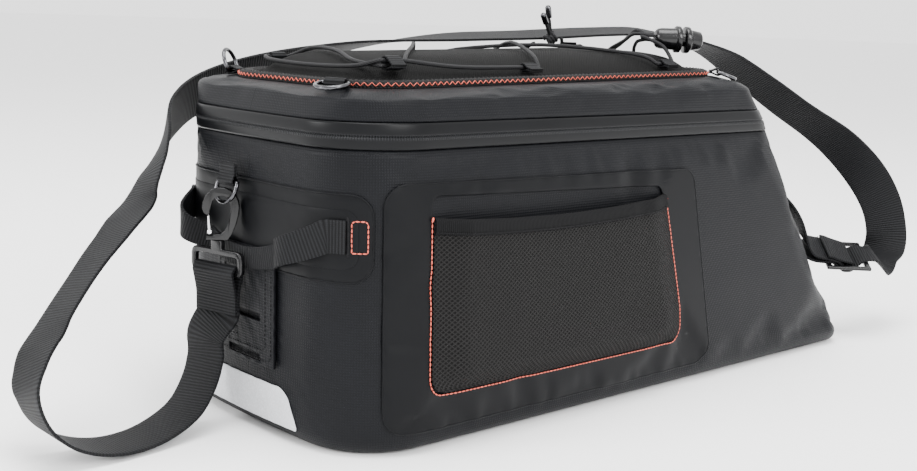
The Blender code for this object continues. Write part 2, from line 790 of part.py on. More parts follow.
def make_rear_skins(smooth_skin, flap_cloth, reflector):
    """The smooth skin, the reflective patch and the light flap of the rear end."""
    reach = corner(OVERLAY_TURN)
    foot = SEAM_HEIGHT - OVERLAY_HEIGHT
    cuts = [s * hand for s in STATIONS for hand in (1, -1) if s < reach]
    outline = rounded([(-reach, foot), (reach, foot), (reach, SEAM_HEIGHT), (-reach, SEAM_HEIGHT)],
                      [0.012] * 4)
    patch("rear_overlay", outline, GAP, GAP + SKIN, wall_point, smooth_skin, cuts)

    half = FLAP_WIDTH / 2
    flap_in = SKIN + 2 * GAP
    across = sorted({-half, half, -SLIT_WIDTH / 2, SLIT_WIDTH / 2}
                    | {s * hand for s in STATIONS for hand in (1, -1) if s < half})
    top = SEAM_HEIGHT - OVERLAY_HEIGHT + 0.010
    along = [FLAP_FOOT]
    for level in sorted(SLIT_LEVELS):
        along += [level - SLIT_HEIGHT / 2, level + SLIT_HEIGHT / 2]
    along.append(top)
    holes = {(i, j) for i in range(len(across) - 1) for j in (1, 3)
             if -SLIT_WIDTH / 2 - 1e-6 <= across[i] and across[i + 1] <= SLIT_WIDTH / 2 + 1e-6}
    cells("light_flap", across, along, holes, flap_in, flap_in + 0.0014, wall_point, flap_cloth)

    top_half, foot_half = PATCH_TOP_WIDTH / 2, PATCH_FOOT_WIDTH / 2
    outline = rounded([(-foot_half, PATCH_FOOT), (foot_half, PATCH_FOOT),
                       (top_half, PATCH_TOP), (-top_half, PATCH_TOP)],
                      [0.0015, 0.0015, PATCH_RADIUS, PATCH_RADIUS])
    cuts = [s * hand for s in STATIONS for hand in (1, -1) if s < foot_half]
    levels = [z for z in FOOT_LEVELS if PATCH_FOOT < z < PATCH_TOP]
    patch("reflective_patch", outline, GAP, GAP + 0.0006, wall_point, reflector, cuts, levels)


def pocket_edges(z):
    """Rear and front end of the pocket at one level."""
    share = (z - POCKET_FOOT) / (POCKET_TOP - POCKET_FOOT)
    front = POCKET_FOOT_END + (POCKET_TOP_END - POCKET_FOOT_END) * share
    low = max(0.0, 0.010 - (z - POCKET_FOOT))
    tuck = 0.010 - math.sqrt(max(0.0, 0.010 ** 2 - low ** 2))
    return POCKET_REAR + tuck, front - tuck


def pocket_place(hand, depth_share, lift):
    """Maps shares of the pocket's width and height onto the side, bulging in the middle."""
    def place(a, b, out):
        z = POCKET_FOOT + (POCKET_TOP - POCKET_FOOT) * b
        rear, front = pocket_edges(z)
        x = rear + (front - rear) * a
        z -= POCKET_SAG * b * math.sin(math.pi * a)
        side_rise = min(1.0, 9 * a, 9 * (1 - a)) * min(1.0, 7 * b)
        rise = POCKET_DEPTH * depth_share * side_rise
        return wall_point(side(x), z, lift + rise + out, hand)
    return place


def make_side(hand, label, smooth_skin, pocket_cloth, band_cloth):
    """A side's smooth panel, its map pocket and the band along the pocket's mouth."""
    start = corner(PANEL_TURN)
    outline = rounded([(start, PANEL_FOOT), (side(PANEL_FOOT_END), PANEL_FOOT),
                       (side(PANEL_TOP_END), PANEL_TOP - 0.004), (start, PANEL_TOP)],
                      [PANEL_RADIUS, PANEL_RADIUS, PANEL_RADIUS, PANEL_RADIUS])
    cuts = [s for s in STATIONS if s > start]

    def place(s, z, out):
        return wall_point(s, z, out, hand)

    patch("side_panel_" + label, outline, GAP, GAP + SKIN, place, smooth_skin, cuts)

    lift = SKIN + 2 * GAP
    across = [0, 0.045, 0.11, 0.3, 0.5, 0.7, 0.89, 0.955, 1]
    along = [0, 0.05, 0.143, 0.4, 0.7, 1]
    cells("pocket_" + label, across, along, (), 0, POCKET_CLOTH,
          pocket_place(hand, 1.0, lift), pocket_cloth)
    band_low = 1 - BAND_HEIGHT / (POCKET_TOP - POCKET_FOOT)
    cells("pocket_band_" + label, across, [band_low, 1], (), POCKET_CLOTH + GAP,
          POCKET_CLOTH + GAP + BAND_THICK, pocket_place(hand, 1.0, lift), band_cloth)


def make_handle(web):
    """One webbing strap across the rear end: flat on both corners, hanging off in between."""
    reach = corner(HANDLE_TURN)
    free = corner(HANDLE_FREE)
    lift = SKIN + 2 * GAP + HANDLE_THICK / 2
    steps = 36
    rows = []
    for i in range(steps + 1):
        s = -reach + 2 * reach * i / steps
        reach_share = min(1.0, abs(s) / free)
        share = 1 - reach_share ** 2
        bump = max(0.0, 1 - ((reach_share - 0.74) / 0.28) ** 2) ** 2
        stand = HANDLE_STAND * share + HANDLE_BULGE * bump
        z = HANDLE_LEVEL - HANDLE_SAG * share
        place = wall_point(s, z, lift + stand)
        wide = 1 - (1 - HANDLE_PINCH) * share
        rows.append((place, UP.copy(), wide, 1 + 0.7 * share))
    return ribbon("rear_handle", rows, HANDLE_WIDTH, HANDLE_THICK, web)


def make_end_set(label, wall_place, out, across, up, web, metal, plastic, steel):
    """A D-ring in a folded webbing tab on an end wall, and the snap hook that hangs from it.
    Returns the placement of the hook's loop."""
    def at(o, a, u):
        return wall_place + out * o + across * a + up * u

    bar = at(*BAR_PLACE)
    tunnel = RING_WIRE / 2 + GAP
    web_tab(label + "_ring_tab", frame_of(bar, across, up), TAB_WIDTH, tunnel, 0.010, web)
    bow_drop = math.sqrt(RING_DEPTH ** 2 - BOW_OUT ** 2)
    fall = out * BOW_OUT - up * bow_drop
    wire_ring(label + "_d_ring", frame_of(bar, across, -fall), d_path(RING_WIDTH, RING_DEPTH),
              RING_WIRE, metal)

    yaw = math.radians(HOOK_YAW)
    spine = -out * math.sin(yaw) - across * math.cos(yaw)
    eye = bar + fall + up * (RING_WIRE / 2 + HANG_CLEAR)
    shift = hook_point(HOOK_EYE)
    base = eye - spine * shift.x - up * shift.y
    yaw = math.radians(LOOP_YAW)
    loop_wide = -out * math.sin(yaw) - across * math.cos(yaw)
    loop = frame_of(base, loop_wide, up)
    make_hook(label, frame_of(base, spine, up), loop, plastic, steel)
    return loop


def hook_point(share):
    return Vector((share[0] * HOOK_WIDTH, share[1] * HOOK_HEIGHT, 0))


def make_hook(label, frame, loop, plastic, metal):
    """Hook body, sprung gate and swivel loop. Local +Y runs from the loop to the crown."""
    plate(label + "_hook", frame, [hook_point(p)[:2] for p in HOOK_OUTER + HOOK_INNER],
          HOOK_THICK, plastic)

    pivot = hook_point(GATE_PIVOT)
    tip = hook_point(GATE_TIP) - pivot
    run = tip.normalized()
    across = Vector((run.y, -run.x, 0))
    half = GATE_THICK / 2
    outline = []
    for k in range(9):
        angle = math.atan2(run.y, run.x) + math.radians(30 + 300 * k / 8)
        outline.append((math.cos(angle) * GATE_RADIUS, math.sin(angle) * GATE_RADIUS))
    for point in (tip + across * half, tip - across * half):
        outline.append((point.x, point.y))
    gate = plate(label + "_hook_gate", Matrix.Identity(4), outline, GATE_WIDTH, metal)
    gate.matrix_world = frame @ Matrix.Translation(pivot)

    neck, height = NECK_WIDTH / 2, NECK_HEIGHT
    half_w, low = LOOP_WIDTH / 2, -GAP - height - LOOP_HEIGHT
    outer = rounded([(-half_w, low), (half_w, low), (half_w, -GAP - height),
                     (-half_w, -GAP - height)], [0.004] * 4, 3)
    bar = LOOP_BAR
    inner = rounded([(-half_w + bar, low + bar), (half_w - bar, low + bar),
                     (half_w - bar, -GAP - height - bar), (-half_w + bar, -GAP - height - bar)],
                    [0.0022] * 4, 3)
    bm = bmesh.new()
    layers = []
    for z in (-LOOP_BAR / 2, LOOP_BAR / 2):
        layers.append([[bm.verts.new(loop @ Vector((x, y, z))) for x, y in line]
                       for line in (outer, inner)])
    count = len(outer)
    neck_rows = [[bm.verts.new(loop @ Vector((x, -GAP, z))) for x in (neck, -neck)]
                 for z in (-LOOP_BAR / 2, LOOP_BAR / 2)]
    foot_rows = [[bm.verts.new(loop @ Vector((x, -GAP - height, z))) for x in (neck, -neck)]
                 for z in (-LOOP_BAR / 2, LOOP_BAR / 2)]
    top_edge = 11
    for layer, (out, hole) in enumerate(layers):
        for i in range(count):
            j = (i + 1) % count
            line = [out[i], out[j], hole[j], hole[i]]
            if i == top_edge:
                line = [out[i], *foot_rows[layer], out[j], hole[j], hole[i]]
            bm.faces.new(line)
        bm.faces.new((foot_rows[layer][0], neck_rows[layer][0], neck_rows[layer][1],
                      foot_rows[layer][1]))
    for i in range(count):
        j = (i + 1) % count
        bm.faces.new((layers[0][1][i], layers[0][1][j], layers[1][1][j], layers[1][1][i]))
        if i != top_edge:
            bm.faces.new((layers[0][0][i], layers[0][0][j], layers[1][0][j], layers[1][0][i]))
    out0, out1 = layers[0][0], layers[1][0]
    nxt = (top_edge + 1) % count
    lower = [out0[top_edge], foot_rows[0][0], neck_rows[0][0], neck_rows[0][1], foot_rows[0][1],
             out0[nxt]]
    upper = [out1[top_edge], foot_rows[1][0], neck_rows[1][0], neck_rows[1][1], foot_rows[1][1],
             out1[nxt]]
    for k in range(5):
        bm.faces.new((lower[k], lower[k + 1], upper[k + 1], upper[k]))
    return keep(label + "_hook_loop", bm, plastic)


def loop_bar(frame):
    """Middle of the loop's lower bar, where the strap folds round it."""
    return frame @ Vector((0, -GAP - NECK_HEIGHT - LOOP_HEIGHT + LOOP_BAR / 2, 0))


def fold_round(bar, along, normal, radius, start, end, steps=8):
    """Places on an arc round a bar. 0 degrees is along the normal, 90 against the run."""
    places = []
    for k in range(steps + 1):
        angle = math.radians(start + (end - start) * k / steps)
        places.append(bar + (normal * math.cos(angle) - along * math.sin(angle)) * radius)
    return places


def bridge(start, start_way, end, end_way, count):
    """Rows on a smooth curve that leaves start and reaches end in the given directions."""
    span = (Vector(end[:3]) - Vector(start[:3])).length
    rows = []
    for k in range(1, count):
        t = k / count
        share = t * t * (3 - 2 * t)
        place = Vector(start[:3]).lerp(Vector(end[:3]), share)
        place += start_way * span * t * (1 - t) ** 2 - end_way * span * t * t * (1 - t)
        rows.append((*place, *Vector(start[3:6]).lerp(Vector(end[3:6]), share)))
    return rows


def run_below(rows, top, start, end):
    """The strap's way back under rows of (place, width direction), apart by start to end."""
    result = []
    for i in range(1, len(rows) - 1):
        before, after = Vector(rows[i - 1][:3]), Vector(rows[i + 1][:3])
        face = (after - before).cross(Vector(rows[i][3:6])).normalized()
        if face.dot(top) < 0:
            face = -face
        share = i / (len(rows) - 1)
        apart = start + (end - start) * share + RETURN_SAG * math.sin(math.pi * share) ** 2
        result.append((*(Vector(rows[i][:3]) - face * apart), *rows[i][3:6]))
    return result[::-1]


def make_strap(rear_loop, front_loop, web, plastic):
    """The shoulder strap: sewn fold at the rear hook, hanging loop, over the lid, down through
    the slider and the front hook's loop, and back to the slider, where its end is sewn."""
    layer = STRAP_THICK + GAP
    radius = LOOP_BAR * 0.71 + STRAP_CLEAR + STRAP_THICK / 2

    bar = loop_bar(rear_loop)
    turn = rear_loop.to_3x3()
    wide, up, face = (turn @ Vector(axis) for axis in ((1, 0, 0), (0, 1, 0), (0, 0, 1)))
    tail = [bar - up * (radius + reach) + face * (layer * 0.5 + spread)
            for reach, spread in ((0.020, 0), (0.014, 0), (0.008, 0.0003))]
    tail += fold_round(bar, -up, face, radius, -20, 200, 8)
    tail += [bar - up * (radius + reach) - face * (layer * 0.5 + spread)
             for reach, spread in ((0.008, 0.0003), (0.014, 0), (0.020, 0))]
    head = [(*place, *-wide) for place in tail]

    route = []
    for along, over, height, heading, tilt in STRAP_ROUTE:
        a, e = math.radians(heading), math.radians(tilt)
        route.append((*placed(along, over, height), math.cos(e) * math.cos(a),
                      math.cos(e) * math.sin(a), math.sin(e)))

    centre = placed(*SLIDER_PLACE)
    slider = frame_of(centre, SLIDER_ACROSS, -Vector(SLIDER_LINE))
    cross, back, top = (slider.to_3x3() @ Vector(axis)
                        for axis in ((1, 0, 0), (0, 1, 0), (0, 0, 1)))
    line = -back
    under = SLIDER_THICK / 2 + STRAP_CLEAR + STRAP_THICK / 2
    half = SLIDER_LENGTH / 2
    through = [centre + line * half * share + top * level for share, level in (
        (-1.1, -under), (-0.9, -under), (-0.78, -under), (-0.50, 0.0),
        (-0.22, under + layer * 0.7), (0.0, under + layer), (0.22, under + layer * 0.7),
        (0.50, 0.0), (0.78, -under), (1.0, -under), (1.25, -under))]
    main_run = smooth_route([(*place, *cross) for place in through], 2)

    bar = loop_bar(front_loop)
    turn = front_loop.to_3x3()
    wide, up, face = (turn @ Vector(axis) for axis in ((1, 0, 0), (0, 1, 0), (0, 0, 1)))
    if wide.dot(cross) < 0:
        wide, face = -wide, -face
    side_up = face if face.dot(top) > 0 else -face
    round_bar = fold_round(bar, -up, side_up, radius, -10, 190, 8)
    round_bar = [(*place, *wide) for place in round_bar]
    below = [centre + line * half * share - top * level for share, level in (
        (1.1, under + layer * 1.6), (0.95, under + layer * 1.4), (0.76, under + layer * 1.1),
        (0.46, under * 1.1))]
    wrap = SLIDER_BAR / 2 + STRAP_CLEAR + STRAP_THICK / 2
    wrap_places = [centre + line * wrap * a + top * under * b for a, b in (
        (1.0, 0.1), (0.96, 0.70), (0.60, 1.0), (-0.60, 1.0), (-0.96, 0.70), (-1.0, 0.0),
        (-0.96, -0.70), (-0.60, -1.0))]
    end_places = [centre + line * half * share - top * level for share, level in (
        (0.42, under + layer * 1.3), (0.76, under + layer * 2.4), (1.0, under + layer * 2.8))]
    back_run = smooth_route([(*place, *cross) for place in below], 3)
    end_run = smooth_route([(*place, *cross) for place in wrap_places[-1:] + end_places], 3)
    arriving = (Vector(route[-1][:3]) - Vector(route[-2][:3])).normalized()
    middle = smooth_route([head[-1]] + route, 3)[1:]
    middle += bridge(route[-1], arriving, main_run[0], line, 8)
    link = bridge(main_run[-1], line, round_bar[0], up, 18)
    return_run = run_below([main_run[-1]] + link + [round_bar[0]], top, layer * 1.8, radius * 2)
    rows = head + middle + main_run + link + round_bar + return_run + back_run
    rows += [(*place, *cross) for place in wrap_places[:-1]] + end_run
    bend = centre - line * half * 1.25
    rows = [(Vector(row[:3]), Vector(row[3:]),
             1 - STRAP_GATHER * math.exp(-((Vector(row[:3]) - bend).length / 0.013) ** 2), 1.0)
            for row in rows]
    ribbon("shoulder_strap", rows, STRAP_WIDTH, STRAP_THICK, web)

    half_w = STRAP_WIDTH / 2 + STRAP_CLEAR + SLIDER_RAIL
    widths = [-half_w, -half_w + SLIDER_RAIL, half_w - SLIDER_RAIL, half_w]
    lengths = [-half, -half + SLIDER_BAR, -SLIDER_BAR / 2, SLIDER_BAR / 2,
               half - SLIDER_BAR, half]

    def on_slider(a, b, out):
        return slider @ Vector((a, b, out))

    cells("strap_slider", widths, lengths, {(1, 1), (1, 3)}, -SLIDER_THICK / 2, SLIDER_THICK / 2,
          on_slider, plastic)


def make_top_rings(web, metal):
    """Four D-rings at the corners of the top, each in a tab that comes from the border's edge."""
    tunnel = RING_WIRE / 2 + GAP
    reach = tunnel + WEB_THICK
    half_width = HALF_WIDTH * lean(RIDGE) - SHOULDER
    for label, hand, place, rise in (
            ("rear_near", NEAR, 205, -10), ("rear_far", FAR, 128, 70),
            ("front_near", NEAR, -50, -20), ("front_far", FAR, 38, 12)):
        radius = TOP_REAR_RADIUS if abs(place) > 90 else TOP_FRONT_RADIUS
        end = -HALF_LENGTH - REAR_BULGE / 2 + SHOULDER + radius
        if abs(place) < 90:
            end = front_x(RIDGE) - SHOULDER - radius
        a = math.radians(place)
        way = Vector((math.cos(a), math.sin(a), 0))
        centre = Vector((end, hand * (half_width - radius), 0))
        bar = centre + way * (radius + 2 * reach + 2 * GAP)
        bar.z = SEAT + TOP_RISE * bar.x + reach
        web_tab("top_tab_" + label, frame_of(bar, UP.cross(way), -way), TAB_WIDTH * 0.8,
                tunnel, 2 * reach, web)
        tilt = math.radians(rise)
        fall = way * math.cos(tilt) + UP * math.sin(tilt)
        wire_ring("top_ring_" + label, frame_of(bar, UP.cross(way), -fall),
                  d_path(TOP_RING_WIDTH, TOP_RING_DEPTH), RING_WIRE, metal)


def lock_frame():
    """Placement of the cord lock: local X runs from the cord end to the button."""
    cord_end = on_top(0.1240, -0.1750, 0.0140)
    button_end = on_top(0.1640, -0.2400, 0.0232)
    return frame_of(cord_end, button_end - cord_end, UP.cross(button_end - cord_end))


def make_cord_lock(plastic):
    """The barrel of the cord lock and its sprung button."""
    frame = lock_frame()
    bore = STEM_RADIUS + GAP
    depth = STEM_RADIUS * 1.4 + BUTTON_TRAVEL
    turned("cord_lock", frame, [
        (0, LOCK_RADIUS * 0.66), (LOCK_LENGTH * 0.08, LOCK_RADIUS * 0.9),
        (LOCK_LENGTH * 0.25, LOCK_RADIUS), (LOCK_LENGTH * 0.8, LOCK_RADIUS * 1.05),
        (LOCK_LENGTH * 0.83, LOCK_FLANGE), (LOCK_LENGTH, LOCK_FLANGE), (LOCK_LENGTH, bore),
        (LOCK_LENGTH - depth, bore)], plastic)
    start = LOCK_LENGTH + BUTTON_TRAVEL + GAP
    button = turned("cord_lock_button", Matrix.Identity(4), [
        (LOCK_LENGTH - depth + BUTTON_TRAVEL + GAP, STEM_RADIUS), (start, STEM_RADIUS),
        (start, LOCK_FLANGE), (start + 0.003, LOCK_FLANGE), (start + 0.0045, LOCK_RADIUS),
        (start + BUTTON_LENGTH * 0.9, LOCK_RADIUS * 0.86),
        (start + BUTTON_LENGTH, LOCK_RADIUS * 0.6)], plastic)
    button.matrix_world = frame
    return frame


def make_bungee(web, cord, metal, lock):
    """The held elastic cord of the net, its webbing tabs, its knot and two crimped tails."""
    tabs = {}
    for label, along, across, heading, strands in BUNGEE_TABS:
        a = math.radians(heading)
        out = Vector((math.cos(a), math.sin(a), 0))
        slope = Vector((out.x, out.y, -0.2))
        tunnel = CORD_WIRE / 2 + GAP + STRAND_STEP * (strands - 1)
        lift = TAB_LIFT + STRAND_STEP * (strands - 1)
        tabs[label] = frame_of(on_top(along, across, lift), out.cross(UP), slope)
        web_tab("bungee_tab_" + label, tabs[label], CORD_TAB_WIDTH, tunnel, CORD_TAB_TAIL, web)

    ends = [lock @ Vector((-GAP - 0.0004, y, z)) for y, z in
            ((-0.0015, -0.0015), (0.0015, 0.0015), (-0.0015, 0.0015), (0.0015, -0.0015))]
    leads = [end + (lock.to_3x3() @ Vector((-0.005, 0, 0))) for end in ends]

    def strand(name, rows, head, tail):
        points = []
        for row in rows:
            if row[0] in tabs:
                name_of, way, level = row
                points += [tabs[name_of] @ Vector((reach * way, 0, 0)) + UP * STRAND_STEP * level
                           for reach in (-0.0085, -0.0058, 0.0058, 0.0085)]
            else:
                points.append(on_top(*row))
        route = smooth_route([tuple(p) for p in head + points + tail], 2)
        tube(name, route, CORD_WIRE, cord)

    strand("bungee_net", BUNGEE_NET, [], [leads[0], ends[0]])
    strand("bungee_far", BUNGEE_FAR, [], [leads[1], ends[1]])
    strand("bungee_loop", BUNGEE_LOOP, [ends[2], leads[2]], [leads[3], ends[3]])

    knot = on_top(0.0585, 0.176, 0.0085)
    rows = [(x, KNOT_RADIUS * k) for x, k in (
        (-0.0054, 0.35), (-0.0046, 0.72), (-0.0024, 0.95), (-0.0008, 0.86), (0.0008, 0.98),
        (0.0028, 0.9), (0.0046, 0.66), (0.0054, 0.35))]
    turned("bungee_knot", frame_of(knot, (0.72, -0.3, 0.5), (0, 1, 0)), rows, cord)
    for label, way in (("one", (-0.75, -0.30, 0.80)), ("two", (-0.30, -0.10, 0.95))):
        way = Vector(way).normalized()
        start = knot + way * (KNOT_RADIUS + 0.0022)
        tip = start + way * 0.008
        tube("bungee_tail_" + label, [start, start.lerp(tip, 0.5), tip], CORD_WIRE, cord)
        turned("bungee_crimp_" + label, frame_of(tip + way * GAP, way, (0, 1, 0)),
               [(0, CRIMP_RADIUS), (CRIMP_LENGTH * 0.85, CRIMP_RADIUS),
                (CRIMP_LENGTH, CRIMP_RADIUS * 0.6)], metal, 10)


def main():
    """Builds every piece of the bag."""
    clear_scene()
    cloth = finish("coated_cloth", (0.045, 0.047, 0.052), 0.62)
    smooth_skin = finish("smooth_overlay", (0.036, 0.037, 0.041), 0.5)
    tape = finish("zip_tape_film", (0.030, 0.031, 0.034), 0.45)
    mesh_cloth = finish("dark_mesh", (0.016, 0.016, 0.018), 0.85)
    reflector = finish("reflective_film", (0.62, 0.63, 0.65), 0.4)
    webbing = finish("webbing", (0.050, 0.051, 0.055), 0.8)
    border_web = finish("border_webbing", (0.040, 0.036, 0.036), 0.8)
    plastic = finish("black_plastic", (0.018, 0.018, 0.020), 0.35)
    metal = finish("dark_metal", (0.09, 0.09, 0.10), 0.3, 1.0)
    steel = finish("steel", (0.60, 0.60, 0.60), 0.25, 1.0)
    cord = finish("elastic_cord", (0.025, 0.025, 0.028), 0.75)

    make_body(cloth)
    make_zip_tape(tape)
    make_zip_slider(plastic)
    make_lid(cloth)
    make_top(mesh_cloth, border_web)
    make_rear_skins(smooth_skin, cloth, reflector)
    make_side(NEAR, "near", smooth_skin, mesh_cloth, webbing)
    make_side(FAR, "far", smooth_skin, mesh_cloth, webbing)
    make_handle(webbing)

    rear_wall = wall_point(0, END_RING_LEVEL, 0)
    rear_loop = make_end_set("rear", rear_wall, Vector((-1, 0, 0)), Vector((0, 1, 0)), UP,
                             webbing, metal, plastic, steel)
    front_wall = Vector((front_x(END_RING_LEVEL), 0, END_RING_LEVEL))
    front_out = Vector((1, 0, FRONT_SLANT)).normalized()
    front_up = Vector((-FRONT_SLANT, 0, 1)).normalized()
    turn = Matrix.Rotation(-math.radians(FRONT_TURN), 3, front_out)
    front_loop = make_end_set("front", front_wall, front_out, turn @ Vector((0, -1, 0)),
                              turn @ front_up, webbing, metal, plastic, steel)
    make_strap(rear_loop, front_loop, webbing, plastic)
    make_top_rings(webbing, metal)
    lock = make_cord_lock(plastic)
    make_bungee(webbing, cord, metal, lock)


main()
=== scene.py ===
import math

import bmesh
import bpy
from mathutils import Matrix, Vector, noise
from mathutils.bvhtree import BVHTree


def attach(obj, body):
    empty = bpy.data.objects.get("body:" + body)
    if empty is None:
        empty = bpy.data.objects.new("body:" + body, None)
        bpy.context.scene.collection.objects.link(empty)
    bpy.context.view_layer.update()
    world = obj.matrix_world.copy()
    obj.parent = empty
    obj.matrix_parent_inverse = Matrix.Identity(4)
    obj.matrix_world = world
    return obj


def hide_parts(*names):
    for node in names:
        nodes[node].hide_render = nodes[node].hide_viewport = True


# The looks of a soft rack bag: slackened cloth shells, skins, mesh, webbing, cords, stitches
# and the finish of every surface. Metres; +X runs to the slanted end, the near side faces -Y.

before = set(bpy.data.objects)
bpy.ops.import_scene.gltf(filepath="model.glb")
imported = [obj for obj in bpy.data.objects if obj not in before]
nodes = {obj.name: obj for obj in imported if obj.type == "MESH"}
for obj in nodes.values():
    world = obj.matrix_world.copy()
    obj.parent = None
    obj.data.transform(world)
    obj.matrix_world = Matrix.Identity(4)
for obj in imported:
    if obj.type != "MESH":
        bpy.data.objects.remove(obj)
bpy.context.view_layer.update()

# Body
BAG_LENGTH = 0.478
BAG_WIDTH = 0.197
TUB_HEIGHT = 0.166
ZIP_HEIGHT = 0.015
LID_SIDE = 0.0138
WALL = 0.0025
FRONT_SLANT = 0.68
SIDE_LEAN = 0.0243
REAR_RADIUS = 0.0455
FRONT_RADIUS = 0.022
FOOT_RADIUS = 0.011
REAR_BULGE = 0.0056
GAP = 0.0003

# Lid
SHOULDER = 0.018
SHOULDER_RISE = 0.0064
TOP_RISE = 0.02
DOME = 0.0145
DOME_REACH = 0.050
TOP_REAR_RADIUS = 0.042
TOP_FRONT_RADIUS = 0.032
BORDER_WIDTH = 0.012
BORDER_HEIGHT = 0.004

# Skins
SKIN = 0.0008
SEAM_HEIGHT = 0.1428
OVERLAY_HEIGHT = 0.047
OVERLAY_TURN = 52.0
FLAP_WIDTH = 0.060
FLAP_FOOT = 0.0395
FLAP_THICK = 0.0014
SLIT_WIDTH = 0.033
SLIT_HEIGHT = 0.0045
SLIT_LEVELS = (0.0665, 0.0435)
PATCH_TOP = 0.0295
PATCH_FOOT = 0.0075
PATCH_TOP_WIDTH = 0.076
PATCH_FOOT_WIDTH = 0.097
PANEL_TURN = 58.6
PANEL_TOP = 0.1490
PANEL_FOOT = 0.0125
PANEL_TOP_END = 0.0274
PANEL_FOOT_END = 0.056

# Side pockets
POCKET_REAR = -0.193
POCKET_TOP_END = -0.001
POCKET_FOOT_END = 0.024
POCKET_FOOT = 0.033
POCKET_TOP = 0.1305
POCKET_MOUTH = 0.1400       # top of the window above the pocket's mouth, at its rear end
POCKET_SAG = 0.004
POCKET_DEPTH = 0.0062
POCKET_CLOTH = 0.0012
BAND_HEIGHT = 0.009

# Webbing
STRAP_WIDTH = 0.032
STRAP_THICK = 0.0016
HANDLE_WIDTH = 0.018
HANDLE_THICK = 0.0018
HANDLE_TURN = 35.0
HANDLE_LEVEL = 0.1205
HANDLE_STAND = 0.0027
HANDLE_BULGE = 0.011
HANDLE_FREE = 22.0
HANDLE_SAG = 0.021
HANDLE_PINCH = 0.68
TAB_WIDTH = 0.0155
TAB_THICK = 0.0024
WEB_THICK = 0.0012

# Rings, hooks, slider, as they hang on the end walls
RING_WIRE = 0.0026
RING_DEPTH = 0.0128
END_RING_LEVEL = 0.1410
BAR_PLACE = (0.0068, 0.0110, 0.0)
BOW_OUT = 0.0040
HOOK_YAW = 52.0
LOOP_YAW = 12.0
FRONT_TURN = 32.0
HANG_CLEAR = 0.0027
HOOK_WIDTH = 0.0205
HOOK_HEIGHT = 0.0298
HOOK_EYE = (0.117, 0.850)
LOOP_HEIGHT = 0.0145
LOOP_BAR = 0.0034
NECK_HEIGHT = 0.0050
SLIDER_LENGTH = 0.034
SLIDER_BAR = 0.0042
SLIDER_THICK = 0.0026
STRAP_CLEAR = 0.0006

# Bungee
CORD_WIRE = 0.0025
CORD_TAB_WIDTH = 0.010
CORD_TAB_TAIL = 0.008
KNOT_RADIUS = 0.0046
TAB_LIFT = 0.0055
STRAND_STEP = 0.0014

HALF_LENGTH = BAG_LENGTH / 2
HALF_WIDTH = BAG_WIDTH / 2
REAR_FLAT = HALF_WIDTH - REAR_RADIUS
REAR_ARC = REAR_RADIUS * math.pi / 2
ZIP_TOP = TUB_HEIGHT + ZIP_HEIGHT
ZIP_MIDDLE = 0.0115          # along the film from its tucked lower edge to the teeth
RIDGE = ZIP_TOP + LID_SIDE
SEAT = RIDGE + SHOULDER_RISE
BAG_HEIGHT = SEAT + BORDER_HEIGHT
BAG_MIDDLE = Vector((0.0, 0.0, 0.09))
UP = Vector((0, 0, 1))
NEAR = -1
FAR = 1

# The photo's viewpoint, and what the lights aim at
CAMERA_AZIMUTH = -41.95
CAMERA_RISE = 9.95
CAMERA_ROLL = 2
CAMERA_DISTANCE = 0.841
CAMERA_TARGET = Vector((-0.0621, 0.026, 0.0899))
CAMERA_LENS = 48.5
LIGHT_AIM = Vector((0, 0, 0.1))

# Quads round half of the bag: rear end, rear corner, side, front corner, front end
HALF_COLUMNS = (10, 14, 76, 8, 18)

# Sheets and stitches
SIDE_COLUMN = 30            # a column of quads on a plain stretch of the far side
TUB_ROWS = 36
DOME_ROWS = 14
SETTLE_STEPS = 20
TUB_GIVE = 0.0028           # the cloth settles by at most this much
LID_GIVE = 0.0012
SKIN_LIFT = 0.0003
ON_SKIN = SKIN + 2 * GAP
OVERLAY_FOOT = SEAM_HEIGHT - OVERLAY_HEIGHT
TOP_EDGE = SHOULDER + BORDER_WIDTH
BORDER_FOOT = SEAT + GAP
STRAP_LAYER = STRAP_THICK + GAP
STRAP_TURN = LOOP_BAR * 0.71 + STRAP_CLEAR + STRAP_THICK / 2    # its radius round a bar
HEM_FOOT = 1 - BAND_HEIGHT / (POCKET_TOP - POCKET_FOOT)
POCKET_COLUMNS = 84
POCKET_ROWS = 46
STITCH_STEP = 0.0032
ZIGZAG_STEP = 0.0021
RED_YARN = 0.00042
DARK_YARN = 0.00026
WELD_RADIUS = 0.00055
WELD_STEP = 0.003
HEM_CLOTH = POCKET_CLOTH * 0.7
MOTTLE_SIZE = 0.03
TOP_CENTRE = Vector((-0.06, 0, 0))

# The zip's film: share of its height from the foot, and how far it stands out
ZIP_PROFILE = (
    (-0.12, -0.0028), (-0.02, -0.0026), (0.0, -0.0004), (0.02, 0.0004), (0.10, 0.0008),
    (0.26, 0.0009), (0.40, 0.0012), (0.46, 0.0011), (0.49, 0.0003), (0.51, 0.0003),
    (0.54, 0.0011), (0.60, 0.0012), (0.74, 0.0009), (0.90, 0.0008), (0.98, 0.0004),
    (1.0, -0.0004), (1.02, -0.0024), (1.12, -0.0026))

